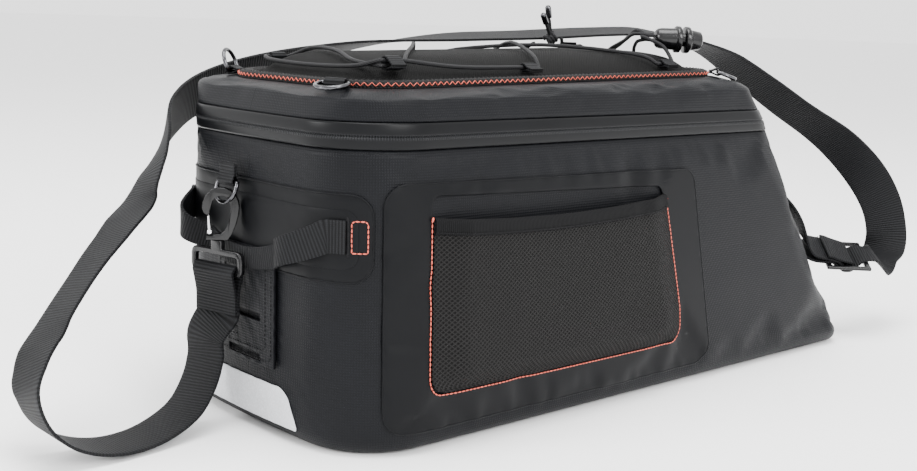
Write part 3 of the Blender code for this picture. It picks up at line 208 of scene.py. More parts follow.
# The strap's way round the bag: shares of length, width and height, its width's heading, tilt
STRAP_ROUTE = (
    (-0.549, 0.086, 0.2546, 98, 0),
    (-0.551, 0.080, 0.1935, 96, 0),
    (-0.563, 0.070, 0.1222, 94, 0),
    (-0.590, 0.050, 0.0570, 92, 0),
    (-0.640, 0.020, 0.0204, 90, 0),
    (-0.692, 0.005, 0.0173, 90, 0),
    (-0.738, 0.005, 0.0489, 90, 0),
    (-0.769, 0.010, 0.1120, 90, 0),
    (-0.779, 0.030, 0.1935, 88, 0),
    (-0.764, 0.070, 0.2648, 86, 0),
    (-0.735, 0.125, 0.3259, 84, 0),
    (-0.706, 0.155, 0.3972, 82, 0),
    (-0.672, 0.180, 0.4787, 82, 0),
    (-0.632, 0.225, 0.5500, 84, 0),
    (-0.591, 0.295, 0.6121, 84, 0),
    (-0.567, 0.322, 0.6936, 78, -4),
    (-0.542, 0.374, 0.7598, 70, -18),
    (-0.510, 0.457, 0.8240, 58, -42),
    (-0.460, 0.530, 0.8820, 62, -55),
    (-0.397, 0.545, 0.9309, 82, -58),
    (-0.314, 0.524, 0.9849, 88, -42),
    (-0.226, 0.452, 1.0450, 90, -15),
    (-0.087, 0.350, 1.0817, 92, 4),
    (0.056, 0.289, 1.0980, 92, 7),
    (0.205, 0.230, 1.1183, 92, 7),
    (0.300, 0.160, 1.1183, 93, 7),
    (0.379, 0.050, 1.0572, 96, 4),
    (0.437, -0.052, 0.9605, 102, 0),
    (0.500, -0.150, 0.8474, 110, 0),
    (0.573, -0.250, 0.7282, 120, 0),
    (0.628, -0.320, 0.6009, 128, 0),
    (0.655, -0.372, 0.4787, 134, 0),
    (0.661, -0.400, 0.3667, 132, 0),
    (0.650, -0.410, 0.2954, 112, 0),
    (0.618, -0.425, 0.2669, 78, 6),
    (0.598, -0.450, 0.2700, 62, 10),
)
SLIDER_PLACE = (0.514, -0.423, 0.3056)
SLIDER_LINE = (-0.740, 0.672, 0.02)
SLIDER_ACROSS = (0.63, 0.70, 0.36)
STRAP_GATHER = 0.42
RETURN_SAG = 0.010

# Tabs that hold the bungee: shares of length and width, way out in degrees, strands
BUNGEE_TABS = (
    ("rear_near", -0.397, -0.284, -90, 2),
    ("rear_far", -0.397, 0.284, 90, 1),
    ("near", -0.184, -0.305, -90, 1),
    ("far", -0.150, 0.305, 90, 1),
    ("far_knot", 0.013, 0.305, 90, 1),
    ("front_near", 0.084, -0.305, -90, 1),
    ("front_far", 0.138, 0.264, 45, 2),
)

# The bungee's routes: shares and metres above the top, or (tab, way through it, level in it)
BUNGEE_NET = (
    (0.0450, 0.225, 0.0075),
    ("far_knot", -1, 0),
    (-0.0260, 0.255, 0.0050),
    (-0.0900, 0.010, 0.0062),
    (-0.1500, -0.235, 0.0050),
    ("near", 1, 0),
    (-0.3000, -0.300, 0.0060),
    ("rear_near", 1, 1),
    (-0.4290, -0.210, 0.0056),
    (-0.4310, 0.000, 0.0050),
    (-0.4290, 0.190, 0.0052),
    ("rear_far", 1, 0),
    (-0.3660, 0.200, 0.0046),
    (-0.3900, 0.000, 0.0046),
    (-0.4160, -0.170, 0.0046),
    ("rear_near", -1, -1),
    (-0.3460, -0.200, 0.0044),
    (-0.2700, 0.000, 0.0044),
    (-0.2200, 0.140, 0.0054),
    (-0.1860, 0.240, 0.0050),
    ("far", 1, 0),
    (-0.1050, 0.240, 0.0044),
    (-0.0300, 0.010, 0.0044),
    (0.0480, -0.240, 0.0044),
    ("front_near", -1, 0),
    (0.1100, -0.245, 0.0090),
    (0.1000, -0.190, 0.0112),
    (0.1000, -0.163, 0.0120),
)
BUNGEE_FAR = (
    (0.0740, 0.160, 0.0080),
    (0.0860, 0.185, 0.0062),
    (0.1000, 0.222, 0.0048),
    (0.1120, 0.266, 0.0082),
    ("front_far", 1, 1),
    (0.1550, 0.170, 0.0085),
    (0.1480, 0.060, 0.0110),
    (0.1240, -0.060, 0.0150),
    (0.1085, -0.115, 0.0165),
    (0.1070, -0.140, 0.0160),
)
BUNGEE_LOOP = (
    (0.1030, -0.148, 0.0140),
    (0.1020, -0.115, 0.0130),
    (0.1180, -0.050, 0.0105),
    (0.1340, 0.040, 0.0080),
    (0.1540, 0.165, 0.0054),
    ("front_far", -1, -1),
    (0.1215, 0.330, 0.0062),
    (0.1381, 0.348, 0.0060),
    (0.1530, 0.334, 0.0060),
    (0.1670, 0.297, 0.0060),
    (0.1720, 0.250, 0.0060),
    (0.1680, 0.150, 0.0060),
    (0.1621, 0.080, 0.0060),
    (0.1500, -0.020, 0.0048),
    (0.1280, -0.075, 0.0075),
    (0.1110, -0.122, 0.0092),
    (0.1100, -0.142, 0.0102),
)


# Finishes

def add(tree, kind, settings=None, **inputs):
    """Adds a shader node. An input is given by name, as a value or as a socket to link."""
    node = tree.nodes.new(kind)
    for name, value in (settings or {}).items():
        setattr(node, name, value)
    for name, value in inputs.items():
        socket = node.inputs[int(name[1:])] if name[0] == "i" else node.inputs[name]
        if isinstance(value, bpy.types.NodeSocket):
            tree.links.new(value, socket)
        else:
            socket.default_value = value
    return node


def bands(tree, place, period, way="X", turn=0.0):
    """Even ridges of one period across a place in metres, from 0 in the grooves to 1."""
    if turn:
        place = add(tree, "ShaderNodeMapping", i0=place, Rotation=(0, 0, turn)).outputs[0]
    wave = add(tree, "ShaderNodeTexWave", {"bands_direction": way}, Vector=place,
               Scale=0.31416 / period)
    return wave.outputs["Factor" if "Factor" in wave.outputs else "Fac"]


def maths(tree, work, one, two):
    """The result of a maths node on two values or sockets."""
    return add(tree, "ShaderNodeMath", {"operation": work}, i0=one, i1=two).outputs[0]


def ranged(tree, value, ends, low, high):
    """Maps a value's range: ends says if low and high are its "From" or its "To"."""
    limits = {ends + " Min": low, ends + " Max": high}
    return add(tree, "ShaderNodeMapRange", Value=value, **limits).outputs[0]


def finish(name, low, high, roughness, relief, metallic=0.0, mottle=0.25, specular=0.5):
    """A surface: relief(tree, cloth, solid) gives its height pattern as (socket, depth), low and
    high are its colours in the grooves and on the ridges, with soft mottling. Where the relief is
    a weave, ribs, braid or mesh, the darker colour in the grooves is painted shade, and on the zip
    the lighter colour on the teeth is painted sheen."""
    material = bpy.data.materials.new(name)
    material.use_nodes = True
    tree = material.node_tree
    shader = tree.nodes["Principled BSDF"]
    shader.inputs["Metallic"].default_value = metallic
    shader.inputs["Specular IOR Level"].default_value = specular
    where = add(tree, "ShaderNodeTexCoord")
    height, depth = relief(tree, where.outputs["UV"], where.outputs["Object"])
    # The relief's height picks the colour: in weaves, ribs, braids and meshes the darker grooves
    # are painted shade; on the zip the lighter teeth are painted sheen.
    relief_shaded_colour = add(tree, "ShaderNodeMix", {"data_type": "RGBA"}, i0=height,
                 i6=(*low, 1), i7=(*high, 1))
    cloud = add(tree, "ShaderNodeTexNoise", Vector=where.outputs["Object"],
                Scale=1 / MOTTLE_SIZE, Detail=4.0).outputs[0]
    shade = ranged(tree, cloud, "To", 1 - mottle, 1 + mottle)
    tinted = add(tree, "ShaderNodeMix", {"data_type": "RGBA", "blend_type": "MULTIPLY"}, i0=1.0,
                 i6=relief_shaded_colour.outputs[2], i7=shade)
    tree.links.new(tinted.outputs[2], shader.inputs["Base Color"])
    rough = ranged(tree, cloud, "To", roughness - 0.07, roughness + 0.07)
    tree.links.new(rough, shader.inputs["Roughness"])
    bump = add(tree, "ShaderNodeBump", Height=height, Distance=depth, Strength=1.0)
    tree.links.new(bump.outputs[0], shader.inputs["Normal"])
    return material


def noisy(tree, place, scale, detail):
    """A fine noise pattern."""
    return add(tree, "ShaderNodeTexNoise", Vector=place, Scale=scale, Detail=detail).outputs[0]


def grain(scale, detail, depth):
    """A relief of faint grain, for films, moulded plastic and thread."""
    return lambda tree, cloth, solid: (noisy(tree, solid, scale, detail), depth)


def crossed(period, turn, work, depth, power=None):
    """A relief of yarns that cross at a slant: mesh, chevron tape or a cord's braid."""
    def relief(tree, cloth, solid):
        yarns = [bands(tree, cloth, period, "X", slant) for slant in (turn, -turn)]
        if power:
            yarns = [maths(tree, "POWER", yarn, power) for yarn in yarns]
        return maths(tree, work, *yarns), depth

    return relief


def fine_weave(tree, cloth, solid):
    """A tight plain weave under a thin coat."""
    weave = maths(tree, "MULTIPLY", bands(tree, cloth, 0.0015), bands(tree, cloth, 0.0015, "Y"))
    coat = maths(tree, "MULTIPLY", noisy(tree, solid, 900.0, 3.0), 0.4)
    return maths(tree, "ADD", maths(tree, "MULTIPLY", weave, 0.6), coat), 0.00022


def ribs(tree, cloth, solid):
    """Webbing: strong ribs across its length and fine yarns along it."""
    yarn = maths(tree, "MULTIPLY", bands(tree, cloth, 0.0011, "Y"), 0.35)
    return maths(tree, "MULTIPLY", bands(tree, cloth, 0.0018),
                 maths(tree, "ADD", yarn, 0.65)), 0.00035


def band_ribs(tree, cloth, solid):
    """The pocket band's fine ribs, along its height."""
    return bands(tree, cloth, 0.0012), 0.0002


def brushed(tree, cloth, solid):
    """Fine scratches on metal."""
    place = add(tree, "ShaderNodeMapping", i0=solid, Scale=(1, 1, 0.06)).outputs[0]
    return noisy(tree, place, 2500.0, 3.0), 0.00002


def beads(tree, cloth, solid):
    """Reflective film: a fine cell pattern."""
    cell = add(tree, "ShaderNodeTexVoronoi", Vector=solid, Scale=900.0)
    return cell.outputs["Distance"], 0.00006


def zip_teeth(tree, cloth, solid):
    """Teeth that show through the film as relief, only along the middle of the band; their lighter
    colour in the finish is painted sheen.
    """
    height = add(tree, "ShaderNodeSeparateXYZ", Vector=cloth).outputs[1]
    off = maths(tree, "ABSOLUTE", maths(tree, "SUBTRACT", height, ZIP_MIDDLE), 0.0)
    mask = ranged(tree, off, "From", 0.0022, 0.0012)
    return maths(tree, "MULTIPLY", bands(tree, cloth, 0.0015), mask), 0.0003


# In coated_cloth, webbing, band_webbing, border_webbing and elastic_cord the darker first colour
# is painted shade in the grooves; zip_film's lighter second colour is painted sheen on the teeth.
coated_cloth = finish("coated_cloth", (0.0022, 0.0024, 0.0031), (0.0062, 0.0066, 0.0082),
                      0.46, fine_weave, specular=0.10)
smooth_overlay = finish("smooth_overlay", (0.0022, 0.0024, 0.0029), (0.0034, 0.0036, 0.0043),
                        0.42, grain(1500.0, 4.0, 0.00003), specular=0.09)
zip_film = finish("zip_tape_film", (0.0026, 0.0028, 0.0033), (0.012, 0.0125, 0.014), 0.34,
                  zip_teeth, specular=0.12)
webbing = finish("webbing", (0.0016, 0.0016, 0.0019), (0.011, 0.0115, 0.0128), 0.60, ribs,
                 specular=0.11)
band_webbing = finish("band_webbing", (0.0014, 0.0014, 0.0016), (0.0050, 0.0050, 0.0055),
                      0.66, band_ribs, specular=0.08)
border_webbing = finish("border_webbing", (0.0028, 0.0025, 0.0025), (0.016, 0.0145, 0.0145),
                        0.66, crossed(0.0017, 0.8, "MULTIPLY", 0.0004), specular=0.12)
# The near-black first colour of the two meshes is painted shade in their holes, partly the black
# cloth behind them and partly painted shade darker than it.
pocket_mesh = finish("pocket_mesh", (0.0003, 0.0003, 0.0003), (0.0115, 0.011, 0.0108), 0.7,
                     crossed(0.0021, 0.9, "MAXIMUM", 0.0006, 1.8), specular=0.10)
top_mesh = finish("top_mesh", (0.0008, 0.0008, 0.0008), (0.006, 0.006, 0.006), 0.75,
                  crossed(0.0011, 0.8, "MAXIMUM", 0.0003), specular=0.06)
reflective_film = finish("reflective_film", (0.50, 0.51, 0.53), (0.66, 0.67, 0.70), 0.42,
                         beads, mottle=0.05)
black_plastic = finish("black_plastic", (0.0020, 0.0020, 0.0023), (0.0040, 0.0040, 0.0045),
                       0.22, grain(1200.0, 2.0, 0.00004), specular=0.34)
dark_metal = finish("dark_metal", (0.055, 0.055, 0.060), (0.10, 0.10, 0.105), 0.20, brushed, 1.0)
steel = finish("steel", (0.55, 0.55, 0.56), (0.72, 0.72, 0.73), 0.20, brushed, 1.0, 0.08)
elastic = finish("elastic_cord", (0.0015, 0.0015, 0.0018), (0.012, 0.012, 0.013), 0.55,
                 crossed(0.0013, 0.7, "MAXIMUM", 0.00025), specular=0.15)
twist = grain(1500.0, 2.0, 0.00008)
red_thread = finish("red_thread", (0.36, 0.045, 0.028), (0.60, 0.115, 0.070), 0.6, twist,
                    mottle=0.1)
dark_thread = finish("dark_thread", (0.002, 0.002, 0.0023), (0.008, 0.008, 0.009), 0.6, twist,
                     specular=0.1)


# Pieces

def in_scene(name, bm):
    """Puts a bmesh into the scene as an object. The bmesh stays open."""
    mesh = bpy.data.meshes.new(name)
    bm.to_mesh(mesh)
    thing = bpy.data.objects.new(name, mesh)
    bpy.context.scene.collection.objects.link(thing)
    return thing


def soften_edges(thing, width, segments, degrees):
    """Rounds off edges that turn by more than degrees."""
    edge = thing.modifiers.new("edges", "BEVEL")
    edge.width = width
    edge.segments = segments
    edge.limit_method = "ANGLE"
    edge.angle_limit = math.radians(degrees)
    return edge


def subdivide(thing, rounds):
    """Smooths a mesh by subdividing it."""
    smooth = thing.modifiers.new("rounds", "SUBSURF")
    smooth.levels = smooth.render_levels = rounds


def piece(name, bm, material, replaces=(), slot=None, thick=0.0, side=0.0, bevel=0.0, rounds=0):
    """Makes a bmesh a named piece of the bag. thick gives a sheet its thickness, side -1
    inwards, 0 both ways or 1 outwards; rounds is how often it is subdivided."""
    thing = in_scene(name, bm)
    bm.free()
    thing.data.materials.append(material)
    thing.data.shade_smooth()
    if rounds:
        subdivide(thing, rounds)
    if thick:
        wall = thing.modifiers.new("thickness", "SOLIDIFY")
        wall.thickness = thick
        wall.offset = side
    if bevel:
        soften_edges(thing, bevel, 2, 40)
    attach(thing, "bag")
    if replaces:
        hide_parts(*([replaces] if isinstance(replaces, str) else replaces))
    return thing


def dress(name, material, bevel=0.0, rounds=0):
    """Gives a CAD node its finish, and softens its edges or subdivides it."""
    node = nodes[name]
    node.data.materials.clear()
    node.data.materials.append(material)
    weld = node.modifiers.new("weld", "WELD")
    weld.merge_threshold = 0.00002
    if bevel:
        soften_edges(node, bevel, 3, 28).harden_normals = True
    if rounds:
        subdivide(node, rounds)
    node.data.shade_smooth()


def lattice(columns, rows, place, measure, holes=()):
    """A sheet of columns by rows quads. place(i, j) gives each corner's place and
    measure(i, j) its place on the flat cloth in metres, for the weave."""
    bm = bmesh.new()
    layer = bm.loops.layers.uv.new("cloth")
    bmesh.ops.create_grid(bm, x_segments=columns, y_segments=rows, size=0.5)
    index = {v: (round((v.co.x + 0.5) * columns), round((v.co.y + 0.5) * rows))
             for v in bm.verts}
    gone = []
    for face in bm.faces:
        if tuple(min(index[v][k] for v in face.verts) for k in (0, 1)) in holes:
            gone.append(face)
        for loop in face.loops:
            loop[layer].uv = measure(*index[loop.vert])
    for vert, (i, j) in index.items():
        vert.co = place(i, j)
    if gone:
        bmesh.ops.delete(bm, geom=gone, context="FACES")
    return bm


def lay_flat(bm):
    """Lays a sheet's weave flat in X and Y."""
    layer = bm.loops.layers.uv["cloth"]
    for face in bm.faces:
        for loop in face.loops:
            loop[layer].uv = loop.vert.co.xy


def face_out(bm):
    """Turns a sheet's faces away from the middle of the bag."""
    bm.normal_update()
    if sum(f.normal.dot(f.calc_center_median() - BAG_MIDDLE) * f.calc_area()
           for f in bm.faces) < 0:
        bmesh.ops.reverse_faces(bm, faces=bm.faces)
    return bm


def smooth_route(points, steps):
    """Points on a Catmull-Rom curve through the given ones, as tuples of any length."""
    result = []
    ends = [points[0]] + list(points) + [points[-1]]
    for i in range(len(points) - 1):
        a, b, c, d = ends[i:i + 4]
        for k in range(steps):
            t = k / steps
            result.append(tuple(
                0.5 * (2 * q + (r - p) * t + (2 * p - 5 * q + 4 * r - s) * t * t
                       + (3 * q - p - 3 * r + s) * t ** 3)
                for p, q, r, s in zip(a, b, c, d)))
    result.append(tuple(points[-1]))
    return result


def frame_of(origin, axis_u, axis_v):
    """A placement whose local X, Y, Z are axis_u, axis_v and their cross product."""
    u = Vector(axis_u).normalized()
    w = u.cross(Vector(axis_v)).normalized()
    v = w.cross(u)
    return Matrix.Translation(origin) @ Matrix((u, v, w)).transposed().to_4x4()


def axes(place):
    """A placement's local X, Y and Z directions."""
    turn = place.to_3x3()
    return [turn @ Vector(axis) for axis in ((1, 0, 0), (0, 1, 0), (0, 0, 1))]


def lengths(points):
    """Distances along a row of points, from the first to each."""
    run = [0.0]
    for a, b in zip(points, points[1:]):
        run.append(run[-1] + (b - a).length)
    return run


# The body's walls

def front_x(z):
    """Where the slanted front end is at a level."""
    return HALF_LENGTH - FRONT_SLANT * z


def lean(z):
    """The share of the foot's width that the leaning sides leave at a level."""
    return 1 - SIDE_LEAN * z / HALF_WIDTH


def foot_inset(z):
    """How far the rounded foot pulls the wall in at a level."""
    if z >= FOOT_RADIUS:
        return 0.0
    return FOOT_RADIUS - math.sqrt(max(0.0, FOOT_RADIUS ** 2 - (FOOT_RADIUS - z) ** 2))


def corner(turn):
    """Developed distance from the rear middle to a place round the rear corner."""
    return REAR_FLAT + REAR_ARC * turn / 90


def side(x):
    """Developed distance from the rear middle to a place x along a long side."""
    return REAR_FLAT + REAR_ARC + x + HALF_LENGTH - REAR_RADIUS


def plan(s):
    """Outline in plan at developed distance s: place and outward direction on the far half."""
    if s <= REAR_FLAT:
        x, y, nx, ny = -HALF_LENGTH, s, -1.0, 0.0
    elif s <= REAR_FLAT + REAR_ARC:
        angle = (s - REAR_FLAT) / REAR_RADIUS
        nx, ny = -math.cos(angle), math.sin(angle)
        x = -HALF_LENGTH + REAR_RADIUS * (1 + nx)
        y = REAR_FLAT + REAR_RADIUS * ny
    else:
        x, y, nx, ny = s - REAR_FLAT - REAR_ARC - HALF_LENGTH + REAR_RADIUS, HALF_WIDTH, 0.0, 1.0
    return x - REAR_BULGE * (1 - (y / HALF_WIDTH) ** 2), y, nx, ny


def wall_point(s, z, out, hand=FAR):
    """A point on the body's plain wall, pushed out by out. A negative s is the other half."""
    if s < 0:
        s, hand = -s, -hand
    x, y, nx, ny = plan(s)
    push = out - foot_inset(z)
    return Vector((x + nx * push, hand * (y * lean(z) + ny * push), z))


def whole_ring(half, height):
    """The far half's outline, mirrored to the near side and given its heights."""
    near = [(x, -y) for x, y in reversed(half[1:-1])]
    return [Vector((x, y, height(x))) for x, y in half + near]


def body_ring(z, out=0.0):
    """The outline at one level, from the rear middle round by the far side."""
    rear, arc, long, bend, front = HALF_COLUMNS
    push = out - foot_inset(z)
    stops = [REAR_FLAT * i / rear for i in range(rear)]
    stops += [REAR_FLAT + REAR_ARC * i / arc for i in range(arc)]
    half = []
    for s in stops:
        x, y, nx, ny = plan(s)
        half.append((x + nx * push, y * lean(z) + ny * push))
    width = HALF_WIDTH * lean(z)
    begin, end = -HALF_LENGTH + REAR_RADIUS, front_x(z) - FRONT_RADIUS
    half += [(begin + (end - begin) * i / long, width + push) for i in range(long)]
    for i in range(bend):
        angle = math.pi / 2 * i / bend
        half.append((end + math.sin(angle) * (FRONT_RADIUS + push),
                     width - FRONT_RADIUS + math.cos(angle) * (FRONT_RADIUS + push)))
    half += [(front_x(z) + push, (width - FRONT_RADIUS) * (1 - i / front))
             for i in range(front + 1)]
    return whole_ring(half, lambda x: z)


def top_ring(inset, height, settle=0.0):
    """A ring on the lid's top, inset from the ridge."""
    rear, arc, long, bend, front = HALF_COLUMNS
    back = -HALF_LENGTH + inset - REAR_BULGE * 0.5
    ahead = front_x(RIDGE) - inset
    width = HALF_WIDTH * lean(RIDGE) - inset
    share = min(1.0, inset / SHOULDER)
    rear_radius = REAR_RADIUS + (TOP_REAR_RADIUS - REAR_RADIUS) * share
    rear_radius = max(0.006, rear_radius - max(0.0, inset - SHOULDER))
    front_radius = FRONT_RADIUS + (TOP_FRONT_RADIUS - FRONT_RADIUS) * share
    front_radius = max(0.004, front_radius - max(0.0, inset - SHOULDER))
    half = [(back, (width - rear_radius) * i / rear) for i in range(rear)]
    for i in range(arc):
        angle = math.pi / 2 * i / arc
        half.append((back + rear_radius * (1 - math.cos(angle)),
                     width - rear_radius * (1 - math.sin(angle))))
    begin, end = back + rear_radius, ahead - front_radius
    half += [(begin + (end - begin) * i / long, width) for i in range(long)]
    for i in range(bend):
        angle = math.pi / 2 * i / bend
        half.append((ahead - front_radius * (1 - math.sin(angle)),
                     width - front_radius * (1 - math.cos(angle))))
    half += [(ahead, (width - front_radius) * (1 - i / front)) for i in range(front + 1)]
    return whole_ring(half, lambda x: height + (1 - settle) * TOP_RISE * x)


RING_PLACES = body_ring(0.1)
RING_COUNT = len(RING_PLACES)
RING_RUN = lengths(RING_PLACES + RING_PLACES[:1])


def shell(rings):
    """A sheet round the bag through closed rings of equal count."""
    rise = lengths([ring[SIDE_COLUMN] for ring in rings])
    bm = lattice(RING_COUNT, len(rings) - 1, lambda i, j: rings[j][i % RING_COUNT],
                 lambda i, j: (RING_RUN[i], rise[j]))
    bmesh.ops.remove_doubles(bm, verts=bm.verts, dist=1e-6)
    return face_out(bm)


def slacken(bm, hold, swell, grow, cap):
    """Lets a sheet settle as cloth, a little larger than its pattern and filled from inside.
    hold(place) is 1 where it is sewn fast and 0 where it is free. No point moves past cap."""
    thing = in_scene("settling", bm)
    mesh = thing.data
    group = thing.vertex_groups.new(name="hold")
    rest = [v.co.copy() for v in mesh.vertices]
    for i, place in enumerate(rest):
        group.add([i], min(1.0, max(0.0, hold(place))), "REPLACE")
        wave = noise.noise(place * 17) * 0.0010 + noise.noise(place * 41) * 0.0002
        mesh.vertices[i].co = place + mesh.vertices[i].normal * wave * (1 - hold(place))
    cloth = thing.modifiers.new("settle", "CLOTH")
    rules = cloth.settings
    rules.quality = 6
    rules.mass = 0.25
    rules.tension_stiffness = rules.compression_stiffness = 14
    rules.shear_stiffness = 6
    rules.bending_stiffness = 1.2
    rules.vertex_group_mass = "hold"
    rules.shrink_min = -grow
    rules.use_pressure = True
    rules.uniform_pressure_force = swell
    rules.effector_weights.gravity = 0
    cloth.point_cache.frame_start = 1
    cloth.point_cache.frame_end = SETTLE_STEPS
    for step in range(1, SETTLE_STEPS + 1):
        bpy.context.scene.frame_set(step)
    settled = thing.evaluated_get(bpy.context.evaluated_depsgraph_get()).data
    places = [v.co.copy() for v in settled.vertices]
    bpy.context.scene.frame_set(1)
    bpy.data.objects.remove(thing)
    bm.verts.ensure_lookup_table()
    for vert, old, new in zip(bm.verts, rest, places):
        move = (new - old) * (1 - min(1.0, hold(old)) ** 3)
        if move.length > cap:
            move *= cap / move.length
        vert.co = old + move


def make_tub():
    """The tub's shell, open at the top. Returns its settled outer skin, for rays."""
    levels = [FOOT_RADIUS * (1 - math.cos(math.radians(a))) for a in (0, 15, 30, 45, 60, 75, 90)]
    levels += [FOOT_RADIUS + (TUB_HEIGHT - FOOT_RADIUS) * k / TUB_ROWS
               for k in range(1, TUB_ROWS + 1)]
    bm = shell([body_ring(z) for z in levels])

    def hold(place):
        low = 1 - (place.z - 0.004) / 0.012
        high = 1 - (TUB_HEIGHT - place.z) / 0.010
        rear = 0.55 if place.x < -HALF_LENGTH + 0.02 else 0.0
        return max(low, high, rear)

    slacken(bm, hold, 0.9, 0.009, TUB_GIVE)
    foot = [e for e in bm.edges if e.is_boundary and e.verts[0].co.z < 0.001]
    bmesh.ops.contextual_create(bm, geom=foot)
    tree = BVHTree.FromBMesh(bm)
    piece("tub_cloth", bm, coated_cloth, "body_tub", "coated_cloth", thick=WALL, side=-1.0)
    return tree


def make_zip_band():
    """The film over the zip: two raised tapes that meet in a groove."""
    rings = [body_ring(TUB_HEIGHT + GAP + (ZIP_HEIGHT - 2 * GAP) * share, out)
             for share, out in ZIP_PROFILE]
    piece("zip_band", shell(rings), zip_film, "zip_tape", "zip_tape_film", thick=0.0012, side=-1.0)


def make_lid():
    """The lid's shell, from the zip over the rounded ridge to below the border tape."""
    soften = LID_SIDE * 0.25
    keys = [body_ring(ZIP_TOP), top_ring(0, RIDGE - soften, 0.75), top_ring(0.0012, RIDGE, 0.7),
            top_ring(SHOULDER * 0.3, RIDGE + SHOULDER_RISE * 0.45, 0.45),
            top_ring(SHOULDER * 0.65, RIDGE + SHOULDER_RISE * 0.8, 0.2), top_ring(SHOULDER, SEAT),
            top_ring(SHOULDER + BORDER_WIDTH + 0.001, SEAT)]
    columns = [smooth_route([key[i] for key in keys], 4) for i in range(RING_COUNT)]
    rings = [[Vector(columns[i][j]) for i in range(RING_COUNT)] for j in range(len(columns[0]))]
    bm = shell(rings)

    def hold(place):
        low = 1 - (place.z - ZIP_TOP) / 0.008
        return max(low, (lid_inset(place.x, place.y) - SHOULDER * 0.7) / 0.004)

    slacken(bm, hold, 0.5, 0.001, LID_GIVE)
    piece("lid_cloth", bm, coated_cloth, "lid", "coated_cloth", thick=WALL * 0.8, side=-1.0)


def lid_inset(x, y):
    """How far a place lies inside the ridge."""
    return min(HALF_WIDTH * lean(RIDGE) - abs(y), front_x(RIDGE) - x,
               x + HALF_LENGTH + REAR_BULGE / 2)


def dome_rise(share):
    """The top panel's swell at a share of its reach."""
    return DOME * (1 - (1 - min(1.0, max(0.0, share))) ** 3)


def on_top(along, across, above):
    """A place above the top, from shares of the length and the width."""
    x, y = along * BAG_LENGTH, across * BAG_WIDTH
    swell = dome_rise((lid_inset(x, y) - SHOULDER - BORDER_WIDTH) / DOME_REACH)
    return Vector((x, y, SEAT + TOP_RISE * x + swell + above))


def make_top_panel():
    """The mesh panel over the swell."""
    shares = [k / DOME_ROWS for k in range(DOME_ROWS + 1)]
    bm = shell([top_ring(TOP_EDGE + GAP + (DOME_REACH - GAP) * t,
                         BORDER_FOOT + 0.0006 + dome_rise(t)) for t in shares])
    inner = [e for e in bm.edges if e.is_boundary
             and all(lid_inset(*v.co.xy) > TOP_EDGE + DOME_REACH / 2 for v in e.verts)]
    bmesh.ops.contextual_create(bm, geom=inner)
    lay_flat(bm)
    piece("top_mesh_panel", bm, top_mesh, "top_panel", "dark_mesh", thick=0.0010, side=0.0)


def make_border():
    """The tape round the top panel, its red zigzag and its dark stitches."""
    bm = shell([top_ring(inset, BORDER_FOOT + BORDER_HEIGHT * rise) for inset, rise in (
        (SHOULDER, 0.0), (SHOULDER + 0.0001, 0.55), (SHOULDER + 0.0009, 0.86),
        (SHOULDER + 0.0024, 1.0), (SHOULDER + 0.0060, 0.98), (TOP_EDGE - 0.0022, 0.94),
        (TOP_EDGE - 0.0008, 0.75), (TOP_EDGE, 0.3), (TOP_EDGE, 0.0))])
    piece("border_tape", bm, border_webbing, "top_border", "border_webbing", rounds=1)

    lanes = [dense_ring(top_ring(SHOULDER - 0.0001, BORDER_FOOT + BORDER_HEIGHT * share),
                        ZIGZAG_STEP) for share in (0.22, 0.72)]
    path = []
    for k in range(min(len(lane) for lane in lanes)):
        place = lanes[k % 2][k]
        path.append((place, (Vector((place.x, place.y, 0)) - TOP_CENTRE).normalized()))
    runs = list(zip(path, path[1:]))
    thread("border_zigzag", runs, 0.0, 0.00025, red_thread)
    for label, inset in (("outer", SHOULDER + 0.0032), ("inner", TOP_EDGE - 0.0030)):
        line = dense_ring(top_ring(inset, BORDER_FOOT + BORDER_HEIGHT * 0.99), STITCH_STEP)
        runs = [[(p, UP), (q, UP)] for p, q in zip(line, line[1:])]
        thread("border_stitches_" + label, runs, 0.0008, DARK_YARN, dark_thread)


def dense_ring(ring, step):
    """Places at an even step along a closed ring."""
    return spaced(list(ring) + [ring[0]], step)


def spaced(points, step):
    """Places at an even step along a row of points."""
    run = lengths(points)
    count = max(2, round(run[-1] / step))
    places, k = [], 0
    for i in range(count + 1):
        goal = run[-1] * i / count
        while k < len(run) - 2 and run[k + 1] < goal:
            k += 1
        span = max(1e-9, run[k + 1] - run[k])
        places.append(points[k].lerp(points[k + 1], min(1.0, (goal - run[k]) / span)))
    return places


def thread(name, runs, trim, radius, material):
    """Stitches: each run is a pair of (place, outward). trim shortens each at both ends."""
    bm = bmesh.new()
    for (a, out), (b, _) in runs:
        way = b - a
        length = way.length - 2 * trim
        place = frame_of((a + b) / 2 + out * radius * 0.3, way, out.cross(way))
        size = Matrix.Diagonal((length / 2 + radius * 0.5, radius, radius * 0.8, 1))
        bmesh.ops.create_icosphere(bm, subdivisions=2, radius=1.0, matrix=place @ size)
    return piece(name, bm, material)


# Skins on the walls

def on_wall(s, z, out, hand=FAR):
    """A point on the slackened tub's wall, out from it, and the outward direction."""
    if s < 0:
        s, hand = -s, -hand
    _, _, nx, ny = plan(s)
    base = wall_point(s, z, 0, hand)
    normal = Vector((nx, hand * ny, 0))
    hit = tub_tree.ray_cast(base + normal * 0.02, -normal, 0.04)[0]
    return (hit or base) + normal * out, normal


def rounded(corners, radii, steps=8):
    """A closed outline with its corners rounded, each by its own radius."""
    points = []
    count = len(corners)
    for i in range(count):
        before, here, after = (Vector(corners[(i + k) % count]) for k in (-1, 0, 1))
        radius = radii[i]
        to_before = (before - here).normalized()
        to_after = (after - here).normalized()
        half = to_before.angle(to_after) / 2
        reach = radius / math.tan(half)
        middle = here + (to_before + to_after).normalized() * radius / math.sin(half)
        start = here + to_before * reach - middle
        end = here + to_after * reach - middle
        swing = start.angle_signed(end)
        for k in range(steps + 1):
            angle = -swing * k / steps
            cos, sin = math.cos(angle), math.sin(angle)
            points.append((middle.x + start.x * cos - start.y * sin,
                           middle.y + start.x * sin + start.y * cos))
    return points


